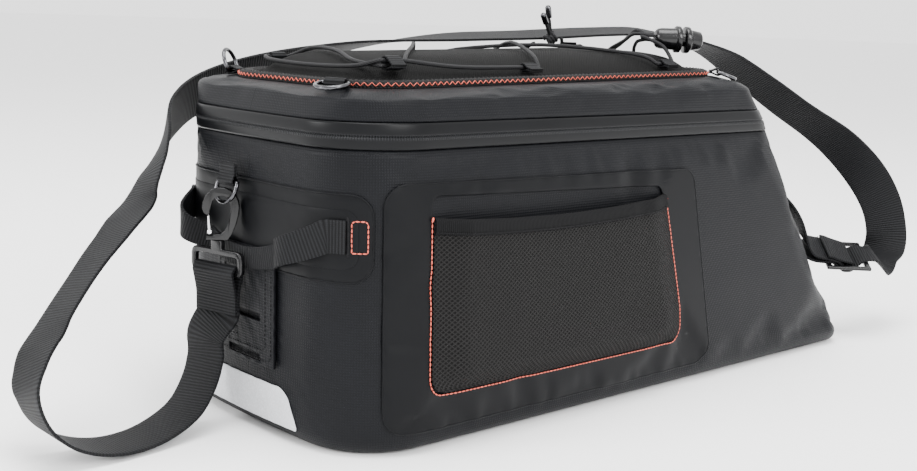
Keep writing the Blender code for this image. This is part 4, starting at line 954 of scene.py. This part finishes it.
def skin(name, outline, out, thick, material, hand=FAR, window=None, step=0.004, **facts):
    """A thin skin on the wall, from an outline of (developed distance, height) points."""
    bm = bmesh.new()
    bm.loops.layers.uv.new("cloth")
    loops = []
    for line in [outline] + ([window] if window else []):
        verts = [bm.verts.new((s, z, 0)) for s, z in line]
        loops.append([bm.edges.new((a, b)) for a, b in zip(verts, verts[1:] + verts[:1])])
    if window:
        bmesh.ops.bridge_loops(bm, edges=loops[0] + loops[1])
    else:
        bmesh.ops.contextual_create(bm, geom=loops[0])
    for axis in (0, 1):
        values = [p[axis] for p in outline]
        low, high = min(values), max(values)
        count = int((high - low) / step)
        for k in range(1, count):
            normal = Vector((1 - axis, axis, 0))
            bmesh.ops.bisect_plane(bm, geom=bm.verts[:] + bm.edges[:] + bm.faces[:], dist=1e-6,
                                   plane_co=normal * (low + (high - low) * k / count),
                                   plane_no=normal)
    lay_flat(bm)
    for vert in bm.verts:
        vert.co = on_wall(vert.co.x, vert.co.y, out, hand)[0]
    face_out(bm)
    piece(name, bm, material, thick=thick, side=1.0, bevel=0.0003, **facts)


def box(left, low, right, high):
    """A rectangle's corners, from the lower left one round."""
    return [(left, low), (right, low), (right, high), (left, high)]


def wall_run(points, out, hand=FAR, step=STITCH_STEP):
    """A line of stitches on the wall through (developed distance, height) points."""
    flat = spaced([Vector((s, z, 0)) for s, z in points], step)
    path = [on_wall(p.x, p.y, out, hand) for p in flat]
    return list(zip(path, path[1:]))


def make_overlay():
    """The smooth overlay round the rear end, with a second layer inside its edge."""
    reach = corner(OVERLAY_TURN)
    outline = rounded(box(-reach, OVERLAY_FOOT, reach, SEAM_HEIGHT), [0.012] * 4)
    skin("rear_skin", outline, SKIN_LIFT, 0.0006, smooth_overlay, replaces="rear_overlay",
         slot="smooth_overlay")
    weld_line("rear_skin_edge", outline, 0.0007)
    inner = reach - 0.0075
    outline = rounded(box(-inner, OVERLAY_FOOT + 0.007, inner, SEAM_HEIGHT - 0.0080),
                      [0.008] * 4)
    skin("rear_skin_inner", outline, 0.0008, 0.0005, smooth_overlay, slot="smooth_overlay")


def make_flap():
    """The lamp's flap, with two slits and two rows of stitches."""
    half = FLAP_WIDTH / 2
    top = OVERLAY_FOOT + 0.010
    xs = sorted({-half, half, -SLIT_WIDTH / 2, SLIT_WIDTH / 2}
                | {-half + FLAP_WIDTH * k / 22 for k in range(1, 22)})
    zs = {FLAP_FOOT, top} | {FLAP_FOOT + (top - FLAP_FOOT) * k / 20 for k in range(1, 20)}
    for level in SLIT_LEVELS:
        low, high = level - SLIT_HEIGHT / 2, level + SLIT_HEIGHT / 2
        zs = {z for z in zs if not low - 0.001 < z < high + 0.001} | {low, high}
    zs = sorted(zs)
    holes = set()
    for i in range(len(xs) - 1):
        for j in range(len(zs) - 1):
            inside = any(abs((zs[j] + zs[j + 1]) / 2 - level) < 0.001 for level in SLIT_LEVELS)
            if inside and abs((xs[i] + xs[i + 1]) / 2) < SLIT_WIDTH / 2:
                holes.add((i, j))
    bm = lattice(len(xs) - 1, len(zs) - 1,
                 lambda i, j: on_wall(xs[i], zs[j], ON_SKIN)[0],
                 lambda i, j: (xs[i], zs[j]), holes)
    piece("lamp_flap", face_out(bm), coated_cloth, "light_flap", "coated_cloth",
          thick=FLAP_THICK, side=1.0, bevel=0.0004)
    runs = []
    for inset in (0.0030, 0.0085):
        line = rounded(box(inset - half, FLAP_FOOT + inset, half - inset, top - inset),
                       [0.003] * 4, 3)
        runs += wall_run(line + line[:1], ON_SKIN + FLAP_THICK, step=0.0026)
    thread("flap_stitches", runs, 0.0005, 0.0003, dark_thread)


def make_reflector():
    """The reflective patch at the foot of the rear end."""
    top_half, foot_half = PATCH_TOP_WIDTH / 2, PATCH_FOOT_WIDTH / 2
    outline = rounded([(-foot_half, PATCH_FOOT), (foot_half, PATCH_FOOT), (top_half, PATCH_TOP),
                       (-top_half, PATCH_TOP)], [0.0015, 0.0015, 0.012, 0.012])
    skin("reflector", outline, SKIN_LIFT, 0.0006, reflective_film, replaces="reflective_patch",
         slot="reflective_film", step=0.0025)


def pocket_edges(z):
    """The pocket's rear and front end at a level, with its lower corners rounded."""
    share = (z - POCKET_FOOT) / (POCKET_TOP - POCKET_FOOT)
    front = POCKET_FOOT_END + (POCKET_TOP_END - POCKET_FOOT_END) * share
    low = max(0.0, 0.010 - (z - POCKET_FOOT))
    tuck = 0.010 - math.sqrt(max(0.0, 0.010 ** 2 - low ** 2))
    return POCKET_REAR + tuck, front - tuck


def pocket_place(a, b, out, hand):
    """Maps shares of the pocket's width and height onto the side, bulging in the middle."""
    z = POCKET_FOOT + (POCKET_TOP - POCKET_FOOT) * b
    rear, front = pocket_edges(z)
    x = rear + (front - rear) * a
    z -= POCKET_SAG * b * math.sin(math.pi * a)
    ease = min(1.0, 9 * a, 9 * (1 - a)) * min(1.0, 7 * b)
    ease = ease * ease * (3 - 2 * ease)
    crease = noise.noise(Vector((x * 22, z * 30, hand * 3.0))) * 0.0007 * ease
    return on_wall(side(x), z, ON_SKIN + POCKET_DEPTH * ease + crease + out, hand)[0]


def make_side(hand, label):
    """One side's panel with the window of its pocket, then the pocket."""
    start = corner(PANEL_TURN)
    outline = rounded([(start, PANEL_FOOT), (side(PANEL_FOOT_END), PANEL_FOOT),
                       (side(PANEL_TOP_END), PANEL_TOP - 0.004), (start, PANEL_TOP)],
                      [0.012] * 4)
    lip = 0.0012
    window = rounded([(side(POCKET_REAR - lip), POCKET_FOOT - lip),
                      (side(POCKET_FOOT_END + lip), POCKET_FOOT - lip),
                      (side(POCKET_TOP_END - 0.003), POCKET_MOUTH - 0.0035),
                      (side(POCKET_REAR - lip), POCKET_MOUTH + 0.0025)],
                     [0.010, 0.010, 0.007, 0.007])
    skin("side_skin_" + label, outline, 0.0008, SKIN, smooth_overlay, hand, window, 0.0027,
         replaces="side_panel_" + label, slot="smooth_overlay")

    weld_line("side_skin_edge_" + label, outline, 0.0013, hand)
    weld_line("pocket_window_edge_" + label, window, 0.0011, hand)

    make_pocket(hand, label)
    stitch_pocket(hand, label)


def make_pocket(hand, label):
    """The pocket's mesh front and the band along its mouth."""
    columns, rows = POCKET_COLUMNS, POCKET_ROWS
    width, height = POCKET_FOOT_END - POCKET_REAR, POCKET_TOP - POCKET_FOOT
    bm = lattice(columns, rows, lambda i, j: pocket_place(i / columns, j / rows, 0, hand),
                 lambda i, j: (i / columns * width, j / rows * height))
    piece("pocket_front_" + label, face_out(bm), pocket_mesh, "pocket_" + label, "dark_mesh",
          thick=HEM_CLOTH, side=1.0)
    swell = (0.0, 0.0010, 0.0012, 0.0012, 0.0012, 0.0010, 0.0002)
    rows = len(swell) - 1
    bm = lattice(columns, rows, lambda i, j: pocket_place(
        i / columns, HEM_FOOT + (1 - HEM_FOOT) * j / rows, HEM_CLOTH + swell[j], hand),
        lambda i, j: (i / columns * width, j / rows * BAND_HEIGHT))
    piece("pocket_hem_" + label, face_out(bm), band_webbing, "pocket_band_" + label, "webbing",
          thick=0.0010, side=0.0, bevel=0.0003)


def stitch_pocket(hand, label):
    """The pocket's red stitches round three sides, their ends and the hem's dark ones."""
    seam = 0.0013
    ends = [(side(POCKET_REAR - seam), POCKET_TOP),
            (side(POCKET_REAR - seam), POCKET_FOOT - seam),
            (side(POCKET_FOOT_END + seam), POCKET_FOOT - seam),
            (side(POCKET_TOP_END + seam), POCKET_TOP - 0.003)]
    # The two lower corners' points only: the line starts and stops at the mouth
    line = ends[:1] + rounded(ends, [0.001, 0.010, 0.010, 0.001])[9:27] + ends[-1:]
    runs = wall_run(line, ON_SKIN + 0.0006, hand, 0.0028)
    thread("pocket_stitches_" + label, runs, 0.0003, RED_YARN, red_thread)
    knots = [wall_run([(s - 0.0003, z - 0.0014), (s + 0.0003, z + 0.0014)], SKIN + 0.0018, hand,
                      0.0030)[0] for s, z in (ends[0], ends[-1])]
    thread("pocket_bartacks_" + label, knots, -0.0004, 0.0007, red_thread)
    count = POCKET_COLUMNS * 2
    hem = [[(pocket_place(0.01 + 0.98 * (i + t) / count, HEM_FOOT + 0.014,
                          POCKET_CLOTH + 0.0016, hand), Vector((0, hand, 0)))
            for t in (0.15, 0.85)] for i in range(count)]
    thread("hem_stitches_" + label, hem, 0.0, DARK_YARN, dark_thread)


# Webbing

def ribbon(name, rows, width, thick, columns, **facts):
    """A flat strap through rows of (place, width direction, width share)."""
    run = lengths([row[0] for row in rows])
    across = []
    for i, (place, cross, _) in enumerate(rows):
        before, after = rows[max(0, i - 1)][0], rows[min(len(rows) - 1, i + 1)][0]
        way = (after - before).normalized()
        across.append((cross - way * cross.dot(way)).normalized())

    def place(i, j):
        return rows[i][0] + across[i] * width * rows[i][2] * (j / columns - 0.5)

    bm = lattice(len(rows) - 1, columns, place, lambda i, j: (run[i], width * j / columns))
    piece(name, bm, webbing, slot="webbing", thick=thick, bevel=thick * 0.28, **facts)


def denser(rows, steps):
    """More rows on a smooth curve through (place, width direction, width share) rows."""
    flat = smooth_route([(*place, *cross, share) for place, cross, share in rows], steps)
    return [(Vector(row[:3]), Vector(row[3:6]).normalized(), row[6]) for row in flat]


def make_handle():
    """The grab handle across the rear end, pinched and sagging, and its end stitches."""
    reach = corner(HANDLE_TURN)
    free = corner(HANDLE_FREE)
    lift = ON_SKIN + HANDLE_THICK / 2
    steps = 120
    rows = []
    for i in range(steps + 1):
        s = -reach + 2 * reach * i / steps
        reach_share = min(1.0, abs(s) / free)
        share = 1 - reach_share ** 2
        bump = max(0.0, 1 - ((reach_share - 0.74) / 0.28) ** 2) ** 2
        stand = HANDLE_STAND * share + HANDLE_BULGE * bump
        z = HANDLE_LEVEL - HANDLE_SAG * share
        rows.append((wall_point(s, z, lift + stand), UP.copy(), 1 - (1 - HANDLE_PINCH) * share))
    ribbon("grab_handle", rows, HANDLE_WIDTH, HANDLE_THICK, 10, replaces="rear_handle")
    for hand, label in ((FAR, "far"), (NEAR, "near")):
        end = reach + 0.0026
        line = box(end, HANDLE_LEVEL - 0.0085, end + 0.0082, HANDLE_LEVEL + 0.0085)
        runs = wall_run(line + line[:1], 0.0013, hand, 0.0026)
        thread("handle_stitches_" + label, runs, 0.0003, RED_YARN, red_thread)
        line = [(reach + 0.0006, HANDLE_LEVEL + rise) for rise in (-0.0100, 0.0100)]
        runs = wall_run(line, 0.0010, hand, 0.0060)
        thread("handle_slot_" + label, runs, -0.0006, 0.0011, dark_thread)


def heading_way(heading):
    """The level direction at a heading in degrees from +X."""
    a = math.radians(heading)
    return Vector((math.cos(a), math.sin(a), 0))


def end_set(wall_place, out, across, up):
    """Placements at an end wall: the ring's bar and the hook's loop."""
    bar = wall_place + out * BAR_PLACE[0] + across * BAR_PLACE[1] + up * BAR_PLACE[2]
    bow_drop = math.sqrt(RING_DEPTH ** 2 - BOW_OUT ** 2)
    fall = out * BOW_OUT - up * bow_drop
    spine, loop_line = (-out * math.sin(yaw) - across * math.cos(yaw)
                        for yaw in (math.radians(HOOK_YAW), math.radians(LOOP_YAW)))
    eye = bar + fall + up * (RING_WIRE / 2 + HANG_CLEAR)
    base = eye - spine * HOOK_EYE[0] * HOOK_WIDTH - up * HOOK_EYE[1] * HOOK_HEIGHT
    return frame_of(bar, across, up), frame_of(base, loop_line, up)


def tab(name, place, width, tunnel, tail, replaces):
    """Webbing folded round a bar: the bar runs along local X, the tail along local +Y."""
    middle = tunnel + WEB_THICK / 2
    level = TAB_THICK / 2 - WEB_THICK / 2
    line = [(tail, level), (middle * 1.9, level)]
    line += [(middle * math.cos(math.radians(a)), middle * math.sin(math.radians(a)))
             for a in range(60, 301, 15)]
    line += [(middle * 1.9, -level), (tail, -level)]
    cross = axes(place)[0].normalized()
    rows = [(place @ Vector((0, y, z)), cross, 1.0) for y, z in line]
    ribbon(name, rows, width, WEB_THICK * 0.9, 6, replaces=replaces)


def loop_bar(place):
    """The middle of the bar that a hook's loop holds the strap by."""
    return place @ Vector((0, -GAP - NECK_HEIGHT - LOOP_HEIGHT + LOOP_BAR / 2, 0))


def fold_round(bar, along, normal, radius, start, end, steps=8):
    """Places round a bar, from one angle to another."""
    angles = [math.radians(start + (end - start) * k / steps) for k in range(steps + 1)]
    return [bar + (normal * math.cos(a) - along * math.sin(a)) * radius for a in angles]


def bridge(start, start_way, end, end_way, count):
    """Rows on a smooth curve that leaves start and reaches end in the given directions."""
    span = (Vector(end[:3]) - Vector(start[:3])).length
    rows = []
    for k in range(1, count):
        t = k / count
        share = t * t * (3 - 2 * t)
        place = Vector(start[:3]).lerp(Vector(end[:3]), share)
        place += start_way * span * t * (1 - t) ** 2 - end_way * span * t * t * (1 - t)
        rows.append((*place, *Vector(start[3:6]).lerp(Vector(end[3:6]), share)))
    return rows


def run_below(rows, top, start, end):
    """The strap's way back under rows of (place, width direction), apart by start to end."""
    result = []
    for i in range(1, len(rows) - 1):
        before, after = Vector(rows[i - 1][:3]), Vector(rows[i + 1][:3])
        face = (after - before).cross(Vector(rows[i][3:6])).normalized()
        if face.dot(top) < 0:
            face = -face
        share = i / (len(rows) - 1)
        apart = start + (end - start) * share + RETURN_SAG * math.sin(math.pi * share) ** 2
        result.append((*(Vector(rows[i][:3]) - face * apart), *rows[i][3:6]))
    return result[::-1]


def make_strap(rear_loop, front_loop):
    """The shoulder strap, from its sewn fold at the rear hook to its sewn end at the slider."""
    layer, radius = STRAP_LAYER, STRAP_TURN
    bar = loop_bar(rear_loop)
    wide, up, face = axes(rear_loop)
    tail = [bar - up * (radius + reach) + face * (layer * 0.5 + spread)
            for reach, spread in ((0.020, 0), (0.014, 0), (0.008, 0.0003))]
    tail += fold_round(bar, -up, face, radius, -20, 200)
    tail += [bar - up * (radius + reach) - face * (layer * 0.5 + spread)
             for reach, spread in ((0.008, 0.0003), (0.014, 0), (0.020, 0))]
    head = [(*place, *-wide) for place in tail]

    route = []
    for along, over, height, heading, tilt in STRAP_ROUTE:
        a, e = math.radians(heading), math.radians(tilt)
        route.append((along * BAG_LENGTH, over * BAG_WIDTH, height * BAG_HEIGHT,
                      math.cos(e) * math.cos(a), math.cos(e) * math.sin(a), math.sin(e)))

    centre = Vector((SLIDER_PLACE[0] * BAG_LENGTH, SLIDER_PLACE[1] * BAG_WIDTH,
                     SLIDER_PLACE[2] * BAG_HEIGHT))
    slider = frame_of(centre, SLIDER_ACROSS, -Vector(SLIDER_LINE))
    cross, back, top = axes(slider)
    line = -back
    under = SLIDER_THICK / 2 + STRAP_CLEAR + STRAP_THICK / 2
    half = SLIDER_LENGTH / 2
    through = [centre + line * half * share + top * level for share, level in (
        (-1.1, -under), (-0.9, -under), (-0.78, -under), (-0.50, 0.0),
        (-0.22, under + layer * 0.7), (0.0, under + layer), (0.22, under + layer * 0.7),
        (0.50, 0.0), (0.78, -under), (1.0, -under), (1.25, -under))]
    main_run = smooth_route([(*place, *cross) for place in through], 2)

    bar = loop_bar(front_loop)
    wide, up, face = axes(front_loop)
    if wide.dot(cross) < 0:
        wide, face = -wide, -face
    side_up = face if face.dot(top) > 0 else -face
    round_bar = [(*place, *wide) for place in fold_round(bar, -up, side_up, radius, -10, 190)]
    below = [centre + line * half * share - top * level for share, level in (
        (1.1, under + layer * 1.6), (0.95, under + layer * 1.4), (0.76, under + layer * 1.1),
        (0.46, under * 1.1))]
    wrap = SLIDER_BAR / 2 + STRAP_CLEAR + STRAP_THICK / 2
    wrap_places = [centre + line * wrap * a + top * under * b for a, b in (
        (1.0, 0.1), (0.96, 0.70), (0.60, 1.0), (-0.60, 1.0), (-0.96, 0.70), (-1.0, 0.0),
        (-0.96, -0.70), (-0.60, -1.0))]
    end_places = [centre + line * half * share - top * level for share, level in (
        (0.42, under + layer * 1.3), (0.76, under + layer * 2.4), (1.0, under + layer * 2.8))]
    back_run = smooth_route([(*place, *cross) for place in below], 3)
    end_run = smooth_route([(*place, *cross) for place in wrap_places[-1:] + end_places], 3)
    arriving = (Vector(route[-1][:3]) - Vector(route[-2][:3])).normalized()
    middle = smooth_route([head[-1]] + route, 3)[1:]
    middle += bridge(route[-1], arriving, main_run[0], line, 8)
    link = bridge(main_run[-1], line, round_bar[0], up, 18)
    return_run = run_below([main_run[-1]] + link + [round_bar[0]], top, layer * 1.8, radius * 2)
    rows = head + middle + main_run + link + round_bar + return_run + back_run
    rows += [(*place, *cross) for place in wrap_places[:-1]] + end_run
    bend = centre - line * half * 1.25
    rows = denser([(Vector(row[:3]), Vector(row[3:6]),
                    1 - STRAP_GATHER * math.exp(-((Vector(row[:3]) - bend).length / 0.013) ** 2))
                   for row in rows], 3)
    ribbon("carry_strap", rows, STRAP_WIDTH, STRAP_THICK, 10, replaces="shoulder_strap")


def stitch_strap(rear_loop):
    """Two seams across both faces of the strap's fold at the rear hook."""
    bar = loop_bar(rear_loop)
    wide, up, face = axes(rear_loop)
    runs = []
    for drop in (0.0265, 0.0305):
        for out in (face, -face):
            line = [bar - up * (STRAP_TURN + drop) + wide * STRAP_WIDTH * t
                    + out * (STRAP_LAYER * 0.5 + STRAP_THICK / 2 + 0.0001)
                    for t in (-0.46, 0.46)]
            line = spaced(line, 0.0024)
            runs += [((p, out), (q, out)) for p, q in zip(line, line[1:])]
    thread("strap_stitches", runs, 0.0003, 0.00038, dark_thread)


def make_end_sets():
    """The tabs of both end rings. Returns where the hooks' loops hang."""
    rear_bar, rear_loop = end_set(wall_point(0, END_RING_LEVEL, 0), Vector((-1, 0, 0)),
                                  Vector((0, 1, 0)), UP)
    front_wall = Vector((front_x(END_RING_LEVEL), 0, END_RING_LEVEL))
    front_out = Vector((1, 0, FRONT_SLANT)).normalized()
    front_up = Vector((-FRONT_SLANT, 0, 1)).normalized()
    turn = Matrix.Rotation(-math.radians(FRONT_TURN), 3, front_out)
    front_bar, front_loop = end_set(front_wall, front_out, turn @ Vector((0, -1, 0)),
                                    turn @ front_up)
    tunnel = RING_WIRE / 2 + GAP
    for label, place in (("rear", rear_bar), ("front", front_bar)):
        tab(label + "_tab_webbing", place, TAB_WIDTH, tunnel, 0.010, label + "_ring_tab")
    return rear_loop, front_loop


def make_top_tabs():
    """The webbing of the four corner rings."""
    tunnel = RING_WIRE / 2 + GAP
    reach = tunnel + WEB_THICK
    half_width = HALF_WIDTH * lean(RIDGE) - SHOULDER
    for label, hand, heading in (("rear_near", NEAR, 205), ("rear_far", FAR, 128),
                                 ("front_near", NEAR, -50), ("front_far", FAR, 38)):
        radius = TOP_REAR_RADIUS if abs(heading) > 90 else TOP_FRONT_RADIUS
        end = -HALF_LENGTH - REAR_BULGE / 2 + SHOULDER + radius
        if abs(heading) < 90:
            end = front_x(RIDGE) - SHOULDER - radius
        way = heading_way(heading)
        bar = Vector((end, hand * (half_width - radius), 0)) + way * (radius + 2 * reach + 2 * GAP)
        bar.z = SEAT + TOP_RISE * bar.x + reach
        tab("ring_web_" + label, frame_of(bar, UP.cross(way), -way), TAB_WIDTH * 0.8, tunnel,
            2 * reach, "top_tab_" + label)


# Cords

def cord(name, points, radius, replaces, material, slot, step):
    """A round cord along places, closed at both ends."""
    points = spaced([Vector(p) for p in points], step)
    sides = 10
    frames = []
    normal = Vector((0.3, 0.2, 1))
    for i, point in enumerate(points):
        way = (points[min(len(points) - 1, i + 1)] - points[max(0, i - 1)]).normalized()
        normal = (normal - way * normal.dot(way)).normalized()
        frames.append((point, normal.copy(), way.cross(normal)))
    run = lengths(points)

    def place(i, j):
        point, one, two = frames[i]
        angle = 2 * math.pi * j / sides
        tight = radius * (0.55 if i in (0, len(points) - 1) else 1.0)
        return point + (one * math.cos(angle) + two * math.sin(angle)) * tight

    bm = lattice(len(points) - 1, sides, place,
                 lambda i, j: (run[i], 2 * math.pi * radius * j / sides))
    bmesh.ops.remove_doubles(bm, verts=bm.verts, dist=1e-7)
    bmesh.ops.holes_fill(bm, edges=[e for e in bm.edges if e.is_boundary], sides=0)
    bmesh.ops.recalc_face_normals(bm, faces=bm.faces)
    piece(name, bm, material, replaces, slot)


def weld_line(name, outline, out, hand=FAR):
    """The raised edge of a welded skin, along its closed outline."""
    flat = dense_ring([Vector((s, z, 0)) for s, z in outline], WELD_STEP)
    places = [on_wall(p.x, p.y, out, hand)[0] for p in flat]
    cord(name, places, WELD_RADIUS, (), smooth_overlay, "smooth_overlay", WELD_STEP)


def bungee(name, points, radius, replaces):
    """A stretch of the braided elastic cord."""
    cord(name, points, radius, replaces, elastic, "elastic_cord", radius * 1.2)


def lock_frame():
    """The cord lock's place: local +X runs from the cords to the button."""
    cord_end = on_top(0.1240, -0.1750, 0.0140)
    button_end = on_top(0.1640, -0.2400, 0.0232)
    return frame_of(cord_end, button_end - cord_end, UP.cross(button_end - cord_end))


def make_bungee():
    """The bungee's tabs, its three strands into the cord lock, and the knot with its ends."""
    tabs = {}
    for label, along, across, heading, strands in BUNGEE_TABS:
        out = heading_way(heading)
        tunnel = CORD_WIRE / 2 + GAP + STRAND_STEP * (strands - 1)
        lift = TAB_LIFT + STRAND_STEP * (strands - 1)
        tabs[label] = frame_of(on_top(along, across, lift), out.cross(UP),
                               Vector((out.x, out.y, -0.2)))
        tab("cord_web_" + label, tabs[label], CORD_TAB_WIDTH, tunnel, CORD_TAB_TAIL,
            "bungee_tab_" + label)
    lock = lock_frame()
    ends = [lock @ Vector((-GAP - 0.0004, y, z)) for y, z in
            ((-0.0015, -0.0015), (0.0015, 0.0015), (-0.0015, 0.0015), (0.0015, -0.0015))]
    leads = [end - axes(lock)[0] * 0.005 for end in ends]

    def strand(name, rows, head, tail):
        points = []
        for row in rows:
            if row[0] in tabs:
                name_of, way, level = row
                points += [tabs[name_of] @ Vector((reach * way, 0, 0)) + UP * STRAND_STEP * level
                           for reach in (-0.0085, -0.0058, 0.0058, 0.0085)]
            else:
                points.append(on_top(*row))
        route = smooth_route([tuple(p) for p in head + points + tail], 4)
        bungee(name + "_braid", route, CORD_WIRE / 2, name)

    strand("bungee_net", BUNGEE_NET, [], [leads[0], ends[0]])
    strand("bungee_far", BUNGEE_FAR, [], [leads[1], ends[1]])
    strand("bungee_loop", BUNGEE_LOOP, [ends[2], leads[2]], [leads[3], ends[3]])

    knot = on_top(0.0585, 0.176, 0.0085)
    place = frame_of(knot, (0.72, -0.3, 0.5), (0, 1, 0))
    coil = []
    reach = KNOT_RADIUS - CORD_WIRE * 0.5
    for k in range(61):
        t = k / 60
        angle = 2 * math.pi * 3.2 * t
        coil.append(place @ Vector((-0.0036 + 0.0072 * t, reach * math.cos(angle),
                                    reach * math.sin(angle))))
    bungee("bungee_knot_turns", coil, CORD_WIRE * 0.52, "bungee_knot")
    for label, way in (("one", (-0.75, -0.30, 0.80)), ("two", (-0.30, -0.10, 0.95))):
        way = Vector(way).normalized()
        start = knot + way * (KNOT_RADIUS - 0.0012)
        tip = knot + way * (KNOT_RADIUS + 0.0022 + 0.008)
        bungee("bungee_end_" + label, [start, start.lerp(tip, 0.5), tip], CORD_WIRE / 2,
               "bungee_tail_" + label)


# Hard pieces keep the CAD's shape

def dress_hardware():
    """Finishes for the moulded plastic and the metal."""
    for material, bevel, rounds, names in (
            (black_plastic, 0.0011, 0, ("rear_hook", "front_hook")),
            (black_plastic, 0.0008, 0, ("rear_hook_loop", "front_hook_loop", "strap_slider")),
            (black_plastic, 0.0006, 0, ("zip_slider",)),
            (black_plastic, 0.0005, 0, ("cord_lock", "cord_lock_button")),
            (steel, 0.0003, 0, ("rear_hook_gate", "front_hook_gate")),
            (dark_metal, 0.0, 2, ("rear_d_ring", "front_d_ring", "top_ring_rear_near",
                                  "top_ring_rear_far", "top_ring_front_near",
                                  "top_ring_front_far")),
            (dark_metal, 0.0003, 0, ("bungee_crimp_one", "bungee_crimp_two"))):
        for name in names:
            dress(name, material, bevel, rounds)


def make_stage():
    """Pale floor and soft studio light."""
    bm = bmesh.new()
    bmesh.ops.create_grid(bm, x_segments=1, y_segments=1, size=30)
    floor = in_scene("floor", bm)
    bm.free()
    floor.location.z = -0.0005
    pale = bpy.data.materials.new("pale_floor")
    pale.use_nodes = True
    shader = pale.node_tree.nodes["Principled BSDF"]
    shader.inputs["Base Color"].default_value = (0.93, 0.93, 0.93, 1)
    shader.inputs["Roughness"].default_value = 0.9
    floor.data.materials.append(pale)

    world = bpy.data.worlds.new("studio")
    bpy.context.scene.world = world
    world.use_nodes = True
    sky = world.node_tree.nodes["Background"]
    sky.inputs["Color"].default_value = (1, 1, 1, 1)
    sky.inputs["Strength"].default_value = 2.2
    for name, place, size, power in (("over", (-0.2, -0.2, 1.9), 1.2, 60),
                                     ("near", (-0.2, -2.2, 1.3), 1.0, 55),
                                     ("rear", (-2.2, 0.7, 1.0), 0.7, 40)):
        light = bpy.data.lights.new(name, "AREA")
        light.energy = power
        light.size = size
        lamp = bpy.data.objects.new(name, light)
        lamp.location = place
        aim = LIGHT_AIM - Vector(place)
        lamp.rotation_euler = aim.to_track_quat("-Z", "Y").to_euler()
        bpy.context.scene.collection.objects.link(lamp)


def make_camera():
    """The camera of the photograph."""
    azimuth, rise, roll = (math.radians(a) for a in (CAMERA_AZIMUTH, CAMERA_RISE, CAMERA_ROLL))
    back = Vector((math.sin(azimuth) * math.cos(rise), -math.cos(azimuth) * math.cos(rise),
                   math.sin(rise)))
    right = (-back).cross(UP).normalized()
    upward = right.cross(-back)
    level = right * math.cos(roll) + upward * math.sin(roll)
    top = upward * math.cos(roll) - right * math.sin(roll)
    lens = bpy.data.cameras.new("camera")
    lens.sensor_width = 36
    lens.lens = CAMERA_LENS
    camera = bpy.data.objects.new("camera", lens)
    camera.matrix_world = Matrix.Translation(CAMERA_TARGET + back * CAMERA_DISTANCE) @ Matrix(
        (level, top, back)).transposed().to_4x4()
    bpy.context.scene.collection.objects.link(camera)
    bpy.context.scene.camera = camera


make_stage()
make_camera()
tub_tree = make_tub()
make_zip_band()
make_lid()
make_top_panel()
make_border()
make_overlay()
make_flap()
make_reflector()
make_side(NEAR, "near")
make_side(FAR, "far")
make_handle()
end_loops = make_end_sets()
make_strap(*end_loops)
stitch_strap(end_loops[0])
make_top_tabs()
make_bungee()
dress_hardware()
